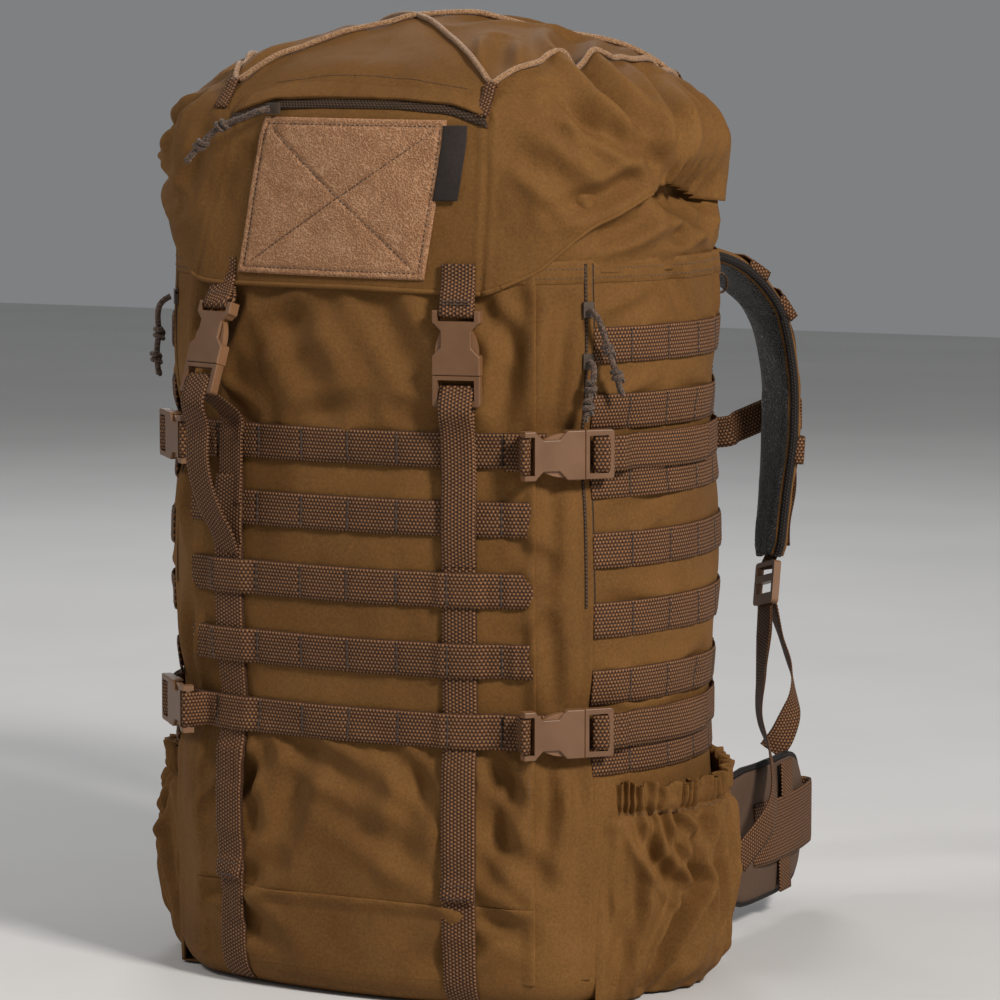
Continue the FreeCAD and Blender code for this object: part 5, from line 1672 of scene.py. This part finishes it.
def pad_frames(count):
    """Centres, width directions and outward directions along the right shoulder pad."""
    line = spline(PAD_LINE, count)
    centre = line[:, :3]
    turn = np.radians(line[:, 3])
    side = np.stack([np.cos(turn), np.sin(turn), np.zeros(count)], -1)
    ahead = unit(np.gradient(centre, axis=0))
    side = unit(side - ahead * np.sum(side * ahead, 1, keepdims=True))
    return centre, side, np.cross(side, ahead), ahead


def build_shoulder_pads():
    """Padded strap with its mesh face, bound edges, and the webbing sewn along and across it."""
    count = 150
    centre, side, out, ahead = pad_frames(count)
    run = arc_lengths(centre)
    noise_pad = Noise(201)
    half = PAD_WIDTH / 2 - np.interp(run / run[-1], [0.78, 1], [0, 11]) - 1.5
    end = np.sqrt(np.clip(1 - (1 - smooth_step(run[-1] - run, 0, 16.0)) ** 2, 0.05, 1))
    half = half * (0.72 + 0.28 * end)

    v = np.linspace(-1, 1, 25)

    def face(sign, proud=0.0, inset=0.0):
        crown = (1 - np.abs(v) ** 4) ** 0.5
        deep = PAD_THICK / 2 * (0.42 + 0.58 * crown) * sign
        deep = deep + sign * proud
        bump = 0.7 * noise_pad(run[:, None] / 16.0, v[None, :] * 2.0 + sign * 5)
        bump = bump + 0.5 * np.sin(run / 5.2)[:, None] * (np.abs(v) > 0.7)
        across = side[:, None] * (half[:, None] - inset)[..., None] * v[None, :, None]
        return centre[:, None] + across + out[:, None] * (deep[None, :] + bump * 0.6)[..., None]

    uvs = np.repeat(run[:, None], len(v), 1), half[:, None] * v[None, :]
    cloth = slab("shoulder_pad_right", face(1.0), face(-1.0), CLOTH, *uvs)
    lining = slab("shoulder_mesh_right", face(-1.0, -1.2, 1.0), face(-1.0, 0.7, 1.0), MESH, *uvs)
    soft = [cloth, lining]
    for sign, edge_name in ((-1, "inner"), (1, "outer")):
        edge = centre + side * (half * sign)[:, None] - out * 1.0
        soft.append(rod(f"pad_binding_{edge_name}_right", edge, 3.4, BINDING, 10))
    # the long strip on the outer face, the strap to the ladder lock and three bridges
    strip_run = slice(int(count * 0.40), count - 3)
    base = PAD_THICK / 2 + 1.2
    bumps = 1.0 + 2.4 * np.sin((run[strip_run] - run[strip_run][0]) / 19.0) ** 2
    strip_centre = centre[strip_run] + out[strip_run] * (base + bumps)[:, None]
    strip = ribbon("shoulder_strip_right", strip_centre, side[strip_run])
    fold = PAD_THICK / 2 + 1.4
    link = [centre[-14] + out[-14] * fold, centre[-5] + out[-5] * (fold - 1.5), centre[-1] + out[-1] * 1.5,
            (131.6, 307.2, 269.5), (131.5, 305.4, 264.5)]
    webbing = [strip, ribbon("lock_strap_right", spline(link, 40), side[-1], 21.0)]
    for number, share in enumerate((0.44, 0.535, 0.80)):
        k = int(share * count)
        wrap = []
        for a in np.linspace(-1.0, 1.0, 30):
            v_at = np.sign(a) * min(abs(a) / 0.86, 1.0)
            turn_in = smooth_step(abs(a), 0.86, 1.0)
            wrap.append(centre[k] + side[k] * (half[k] + 1.6) * v_at
                        + out[k] * (base + 3.2 - 7.0 * turn_in - 3.4 * smooth_step(abs(v_at), 0.6, 1.0)))
        webbing.append(ribbon(f"shoulder_bridge_{number + 1}_right", wrap, ahead[k], 22.0))
    for piece in soft:
        left = both_sides(piece)
    for piece in webbing:
        both_sides(piece)
    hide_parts("shoulder_pads")
    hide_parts("shoulder_webbing")


def twisted(name, stations, width):
    """Webbing through (x, y, z, across x, across y, across z) stations."""
    line = spline(stations, 120)
    return ribbon(name, line[:, :3], unit(line[:, 3:6]), width)


LOWER_LINE = ((132.0, 300.0, 240.0, 0.74, -0.67, 0.0), (134.5, 292.0, 215.0, 0.74, -0.67, 0.0),
              (139.0, 276.0, 185.0, 0.6, -0.8, 0.1), (151.0, 246.0, 158.0, 0.45, -0.8, 0.2),
              (176.0, 208.0, 131.0, 0.15, -0.7, 0.6), (190.0, 174.0, 96.0, 0.0, -0.3, 0.9),
              (181.0, 134.0, 66.0, 0.0, -0.2, 1.0))
TAIL_LINE = ((134.0, 306.0, 240.0, 0.74, -0.67, 0.0), (142.0, 308.0, 212.0, 0.3, -0.6, 0.3),
             (152.0, 306.0, 185.0, 0.1, -0.5, 0.8), (157.0, 298.0, 160.0, -0.1, -0.3, 0.95),
             (153.0, 288.0, 138.0, -0.3, -0.2, 0.9), (146.0, 280.0, 124.0, -0.5, -0.2, 0.8))


GUSSET_X = (150.0, 177.0)


def build_lower_webbing():
    """Webbing from the ladder lock down to its gusset at the bag's foot, and its loose tail."""
    lower = twisted("lower_strap_right", LOWER_LINE, WEBBING - 0.8)
    tail = twisted("lower_tail_right", TAIL_LINE, WEBBING - 4.0)
    both_sides(lower)
    both_sides(tail)
    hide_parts("lower_webbing")
    q, p = np.meshgrid(np.linspace(0, 1, 10), np.linspace(0, 1, 10), indexing="ij")
    x = GUSSET_X[0] * (1 - p) + GUSSET_X[1] * p
    z = (46.0 + 5.0 * p) * (1 - q) + (96.0 - 21.0 * p) * q
    puff = 1.4 * np.sin(math.pi * p) * np.sin(math.pi * q)
    front = np.stack([x, 126.0 - puff, z], -1)
    back = np.stack([x, 129.0 + puff, z], -1)
    gusset = slab("strap_gusset_right", front, back, CLOTH, x, z)
    both_sides(gusset)
    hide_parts("strap_gussets")


CHEST_Y = 332.0
CHEST_LINE = ((152.3, CHEST_Y - 10.2, 387.0), (136.0, CHEST_Y + 7.5, 386.5), (120.5, CHEST_Y + 25.5, 386.0),
              (112.0, CHEST_Y + 26.0, 384.0), (92.0, CHEST_Y + 9.0, 374.0), (82.0, CHEST_Y, 369.0))


def build_chest_strap():
    """Both halves of the chest strap, ending round their buckle halves' bars."""
    origin = np.array([-8.0, CHEST_Y, 366.0])
    along = np.array([1.0, 0.0, 0.0])
    out = np.array([0.0, 1.0, 0.0])
    female = frame_path(origin, along, out, ((FEMALE_BAR + 3.0, 2.6), (FEMALE_BAR - 1.5, 2.9),
                                             (FEMALE_BAR - 3.0, 0.0), (FEMALE_BAR - 1.5, -2.5),
                                             (FEMALE_BAR + 12.0, -2.0)))
    right = ribbon("chest_strap_right_cloth", spline(np.vstack([CHEST_LINE, female]), 150), (0, 0, 1))
    ride_slot(right, "chest_right")
    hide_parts("chest_strap_right")
    left_line = np.array([(-x, y, z) for x, y, z in CHEST_LINE])
    male = frame_path(origin, along, out, ((MALE_BAR - 9.0, 2.6), (MALE_BAR - 2.4, 2.8),
                                           (MALE_BAR + 2.6, 0.0), (MALE_BAR - 2.4, -2.8),
                                           (MALE_BAR - 14.0, -3.0), (MALE_BAR - 42.0, -3.2)))
    line = spline(np.vstack([left_line, [[-70.0, CHEST_Y, 366.5]], male]), 170)
    left = ribbon("chest_strap_left_cloth", line, (0, 0, 1))
    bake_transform(left)
    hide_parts("chest_strap_left")


FIN_LINE = ((147.0, 146.0), (152.0, 160.0), (158.0, 182.0), (161.5, 205.0), (162.0, 230.0),
            (161.5, 255.0), (160.0, 278.0), (157.0, 298.0), (153.5, 316.0))
FIN_LOW = 20.0
FIN_HIGH = 125.0
BELT_LINE = ((166.8, 196.0), (170.6, 214.0), (171.6, 235.0), (171.2, 258.0), (169.8, 280.0), (167.0, 302.0),
             (163.5, 320.0), (158.0, 328.0), (150.0, 328.6), (145.0, 320.0), (143.6, 306.0), (143.0, 290.0),
             (143.2, 276.0))


def build_hip_fins():
    """Padded fins: smooth laminate outside, spacer mesh inside, bound edge; belt webbing on top."""
    count = 70
    line = spline([(x, y, 0.0) for x, y in FIN_LINE], count)
    run = arc_lengths(line)
    ahead = unit(np.gradient(line, axis=0))
    out = np.stack([ahead[:, 1], -ahead[:, 0], np.zeros(count)], -1)
    share = run / run[-1]
    middle = (FIN_LOW + FIN_HIGH) / 2
    half = (FIN_HIGH - FIN_LOW) / 2 * np.interp(share, [0, 0.25, 0.75, 1], [0.78, 1.0, 1.0, 0.82])
    half = half * np.sqrt(np.clip(1 - np.clip((share - 0.86) / 0.14, 0, 1) ** 2 * 0.75, 0.05, 1)) - 1.0
    noise_fin = Noise(301)
    v = np.linspace(-1, 1, 41)

    def face(sign, proud=0.0, inset=0.0):
        crown = np.sqrt(np.clip(1 - np.abs(v) ** 5, 0, 1))
        nose = np.sqrt(np.clip(1 - np.clip((share - 0.9) / 0.1, 0, 1) ** 2, 0, 1))
        deep = (1.6 + 4.2 * crown[None, :] * (0.25 + 0.75 * nose[:, None])) + proud
        deep = deep + 0.5 * noise_fin(run[:, None] / 14.0, v[None, :] * 4.0 + sign)
        points = line[:, None] + out[:, None] * (sign * deep)[..., None]
        points = points + np.array([0, 0, 1.0]) * ((half[:, None] - inset) * v[None, :])[..., None]
        return points + [0.0, 0.0, middle]

    uvs = np.repeat(run[:, None], len(v), 1), half[:, None] * v[None, :]
    outer = face(1.0)
    inner = face(-1.0)
    body = slab("hip_fin_body_right", outer, inner, LAMINATE, *uvs)
    lining = slab("hip_fin_mesh_right", face(-1.0, -1.0, 1.0), face(-1.0, 0.9, 1.0), MESH, *uvs)
    core = (outer + inner) / 2
    rim = np.vstack([core[:, 0], core[-1, 1:-1], core[::-1, -1]])
    binding = rod("hip_fin_binding_right", rim, 3.0, BINDING, 10)
    belt = spline([(x, y, middle) for x, y in BELT_LINE], 160)
    webbing = ribbon("belt_strap_right", belt, (0, 0, 1), 49.0, 2.0, columns=13)
    k = int(count * 0.62)
    upright = np.array([line[k] + out[k] * (8.9 + 0.8 * math.sin(t * 3.1)) + [0, 0, middle + t * 51.0]
                        for t in np.linspace(-1, 1, 40)])
    strip = ribbon("fin_strip_right", upright, ahead[k], WEBBING - 1.0)
    for piece, slot in ((body, "mesh"), (lining, "mesh"), (binding, "mesh"), (webbing, "webbing"),
                        (strip, "webbing")):
        other = mirror_mesh(piece.name.replace("_right", "_left"), piece)
        for half_piece, side in ((piece, "right"), (other, "left")):
            ride_slot(half_piece, "hip_fin_" + side)
            if piece is body:
                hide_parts("hip_fin_" + side)
            if piece is webbing:
                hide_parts("belt_webbing_" + side)


def inflate(name, low, high, node, cap):
    """Cushion blown up by Blender's cloth from a slightly smaller remeshed box, then applied."""
    low = np.array(low)
    high = np.array(high)
    bpy.ops.mesh.primitive_cube_add(size=1.0)
    pad = bpy.context.active_object
    pad.name = name
    pad.data.name = name
    pad.data.transform(Matrix.Diagonal((*((high - low) * MM), 1.0)))
    pad.data.transform(Matrix.Translation(Vector((high + low) / 2 * MM)))
    bevel = pad.modifiers.new("bevel", "BEVEL")
    bevel.width = 0.006
    bevel.segments = 3
    remesh = pad.modifiers.new("remesh", "REMESH")
    remesh.mode = "VOXEL"
    remesh.voxel_size = 0.005
    apply_modifiers(pad)
    start = vertex_array(pad)
    cloth = pad.modifiers.new("cloth", "CLOTH")
    cloth.settings.use_pressure = True
    cloth.settings.uniform_pressure_force = 4.0
    cloth.settings.tension_stiffness = 12.0
    cloth.settings.bending_stiffness = 1.2
    cloth.settings.effector_weights.gravity = 0.0
    scene = bpy.context.scene
    for number in range(1, 21):
        scene.frame_set(number)
    apply_modifiers(pad)
    scene.frame_set(1)
    moved = vertex_array(pad) - start
    reach = np.linalg.norm(moved, axis=1, keepdims=True)
    moved = moved * np.minimum(1.0, cap * MM / np.maximum(reach, 1e-9))
    pad.data.vertices.foreach_set("co", (start + moved).astype(np.float32).ravel())
    smooth = pad.modifiers.new("smooth", "SUBSURF")
    smooth.levels = 1
    apply_modifiers(pad)
    pad.data.polygons.foreach_set("use_smooth", [True] * len(pad.data.polygons))
    lay_uvs(pad.data, vertex_array(pad)[:, [0, 2]])
    pad.data.materials.clear()
    pad.data.materials.append(MESH)
    ride_slot(pad, "pack")
    if node:
        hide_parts(node)


def vertex_array(piece):
    places = np.empty(len(piece.data.vertices) * 3, np.float32)
    piece.data.vertices.foreach_get("co", places)
    return places.reshape(-1, 3).astype(float)


def apply_modifiers(piece):
    """Bake a piece's modifiers into its mesh."""
    bpy.context.view_layer.update()
    shaped = piece.evaluated_get(bpy.context.evaluated_depsgraph_get())
    mesh = bpy.data.meshes.new_from_object(shaped)
    piece.modifiers.clear()
    piece.data = mesh


def build_back():
    """Back pads, lumbar cushion, haul loop and the small webbing loops at the hem."""
    inflate("back_pad_right", (21.0, 126.5, 190.0), (115.0, 137.0, 436.0), "back_pads", 3.0)
    inflate("back_pad_left", (-115.0, 126.5, 190.0), (-21.0, 137.0, 436.0), None, 3.0)
    inflate("lumbar_cushion", (-128.0, 127.0, 38.0), (128.0, 146.0, 161.0), "lumbar_pad", 4.0)
    for side, side_name in ((1, "right"), (-1, "left")):
        corners = [(side * x, 128.5, z) for x, z in ((18, 187), (118, 187), (118, 439), (18, 439))]
        edge = round_loop(corners, 9.0)
        ride_slot(rod(f"back_pad_binding_{side_name}", edge, 3.0, BINDING, 10, closed=True), "pack")
    haul = ((-43.0, 127.0), (-42.0, 134.0), (-36.0, 143.0), (-22.0, 147.4), (0.0, 148.0), (22.0, 147.4),
            (36.0, 143.0), (42.0, 134.0), (43.0, 127.0))
    loop = ribbon("haul_loop", spline([(x, y, 524.5) for x, y in haul], 90), (0, 0, 1), thick=2.2)
    ride_slot(loop, "pack")
    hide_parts("webbing_loops")
    for side, side_name in ((1, "right"), (-1, "left")):
        s = plan.find(172.0, 92.0) * side
        out = skin_normal(s, 504.0)
        ahead = (-out[1], out[0], 0.0)
        ring = [skin(s, 504.0) + out * (5.6 - 5.0 * math.cos(a)) + [0, 0, -7.0 * math.sin(a)]
                for a in np.linspace(0, 2 * math.pi, 34)]
        ride_slot(ribbon(f"hem_tab_{side_name}", ring, ahead, 15.0, 1.4), "pack")


def round_loop(corners, radius):
    """Closed loop through corners with each one rounded."""
    corners = [np.array(c, float) for c in corners]
    line = []
    for k, corner in enumerate(corners):
        before = unit(corners[k - 1] - corner)
        after = unit(corners[(k + 1) % len(corners)] - corner)
        for t in np.linspace(0, 1, 8):
            a = corner + before * radius * (1 - t)
            b = corner + after * radius * t
            line.append(a * (1 - t) + b * t)
    dense = []
    for a, b in zip(line, line[1:] + line[:1]):
        steps = max(1, int(np.linalg.norm(b - a) / 6.0))
        dense += [a + (b - a) * k / steps for k in range(steps)]
    return np.array(dense)


# ------------------------------------------------------------------ stage

def build_stage():
    mesh = bpy.data.meshes.new("floor")
    size = 6.0
    mesh.from_pydata([(-size, -size, 0), (size, -size, 0), (size, size, 0), (-size, size, 0)], [],
                     [(0, 1, 2, 3)])
    floor = add_object("floor", mesh)
    n = Nodes("pale floor")
    tone = n.ramp(n.noise(object_position(n), 3.0),
                  ((0.3, (0.60, 0.598, 0.595)), (0.7, (0.64, 0.637, 0.633))))
    floor.data.materials.append(n.finish(tone, 0.9))
    world = bpy.data.worlds.new("studio")
    world.use_nodes = True
    background = world.node_tree.nodes["Background"]
    background.inputs["Color"].default_value = (0.96, 0.98, 1.0, 1.0)
    background.inputs["Strength"].default_value = 0.22
    bpy.context.scene.world = world
    bpy.context.scene.view_settings.view_transform = "Standard"
    add_light("key", (2.5, -1.2, 2.1), (0.1, 0.0, 0.42), 0.55, 106.0, (1.0, 0.95, 0.89))
    add_light("top left", (-2.1, -1.3, 2.7), (0.0, 0.0, 0.45), 0.6, 33.0, (1.0, 0.97, 0.93))
    add_light("rim", (-1.4, 2.4, 2.3), (0.0, 0.0, 0.4), 1.0, 26.0, (0.97, 0.98, 1.0))


def add_light(name, place, target, size, power, colour):
    light = bpy.data.lights.new(name, "AREA")
    light.energy = power
    light.size = size
    light.color = colour
    lamp = add_object(name, light)
    lamp.location = place
    lamp.rotation_euler = (Vector(target) - Vector(place)).to_track_quat("-Z", "Y").to_euler()


# where the camera stands, and the middle of its view to the right of and over the origin
AZIMUTH = math.radians(26.0)
ELEVATION = math.radians(6.5)
DISTANCE_M = 3.2
LENS = 154.5
AIM_RIGHT_M = 0.041
AIM_UP_M = 0.342


def build_camera():
    toward = Vector((math.sin(AZIMUTH) * math.cos(ELEVATION), -math.cos(AZIMUTH) * math.cos(ELEVATION),
                     math.sin(ELEVATION)))
    right = Vector((math.cos(AZIMUTH), math.sin(AZIMUTH), 0.0))
    up = toward.cross(right)
    aim = right * AIM_RIGHT_M + up * AIM_UP_M
    data = bpy.data.cameras.new("camera")
    data.lens = LENS
    data.sensor_width = 36.0
    camera = add_object("camera", data)
    camera.location = aim + toward * DISTANCE_M
    camera.rotation_euler = toward.to_track_quat("Z", "Y").to_euler()
    bpy.context.scene.camera = camera


NODE_MATERIALS = (
    (BUCKLE, ("lid_buckle_females", "lid_buckle_male_right", "lid_buckle_male_left", "side_buckle_females",
              "side_buckle_male_upper_right", "side_buckle_male_lower_right",
              "side_buckle_male_upper_left", "side_buckle_male_lower_left", "ladder_locks",
              "chest_buckle_female", "chest_buckle_male", "belt_buckle_female", "belt_buckle_male")),
    (DARK_PLASTIC, ("cord_lock_body", "cord_lock_plunger", "zip_slider_upper_right",
                    "zip_slider_lower_right", "zip_slider_left", "lid_zip_slider")),
    (STEEL, ("cord_lock_spring",)),
    (SHEET, ("frame_sheet",)),
    (ALUMINIUM, ("frame_stays",)),
)


def dress_nodes():
    """Give each CAD piece that stays visible as it is its material."""
    for material, nodes in NODE_MATERIALS:
        for node in nodes:
            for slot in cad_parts[node].material_slots:
                slot.material = material


build_camera()
build_stage()
dress_nodes()
build_panels()
build_front_rows()
build_side_rows()
build_front_straps()
build_laces(build_lid())
build_collar()
build_pockets()
build_lid_straps()
build_strap_tails()
build_compression_straps()
build_zips()
build_shoulder_pads()
build_lower_webbing()
build_chest_strap()
build_hip_fins()
build_back()
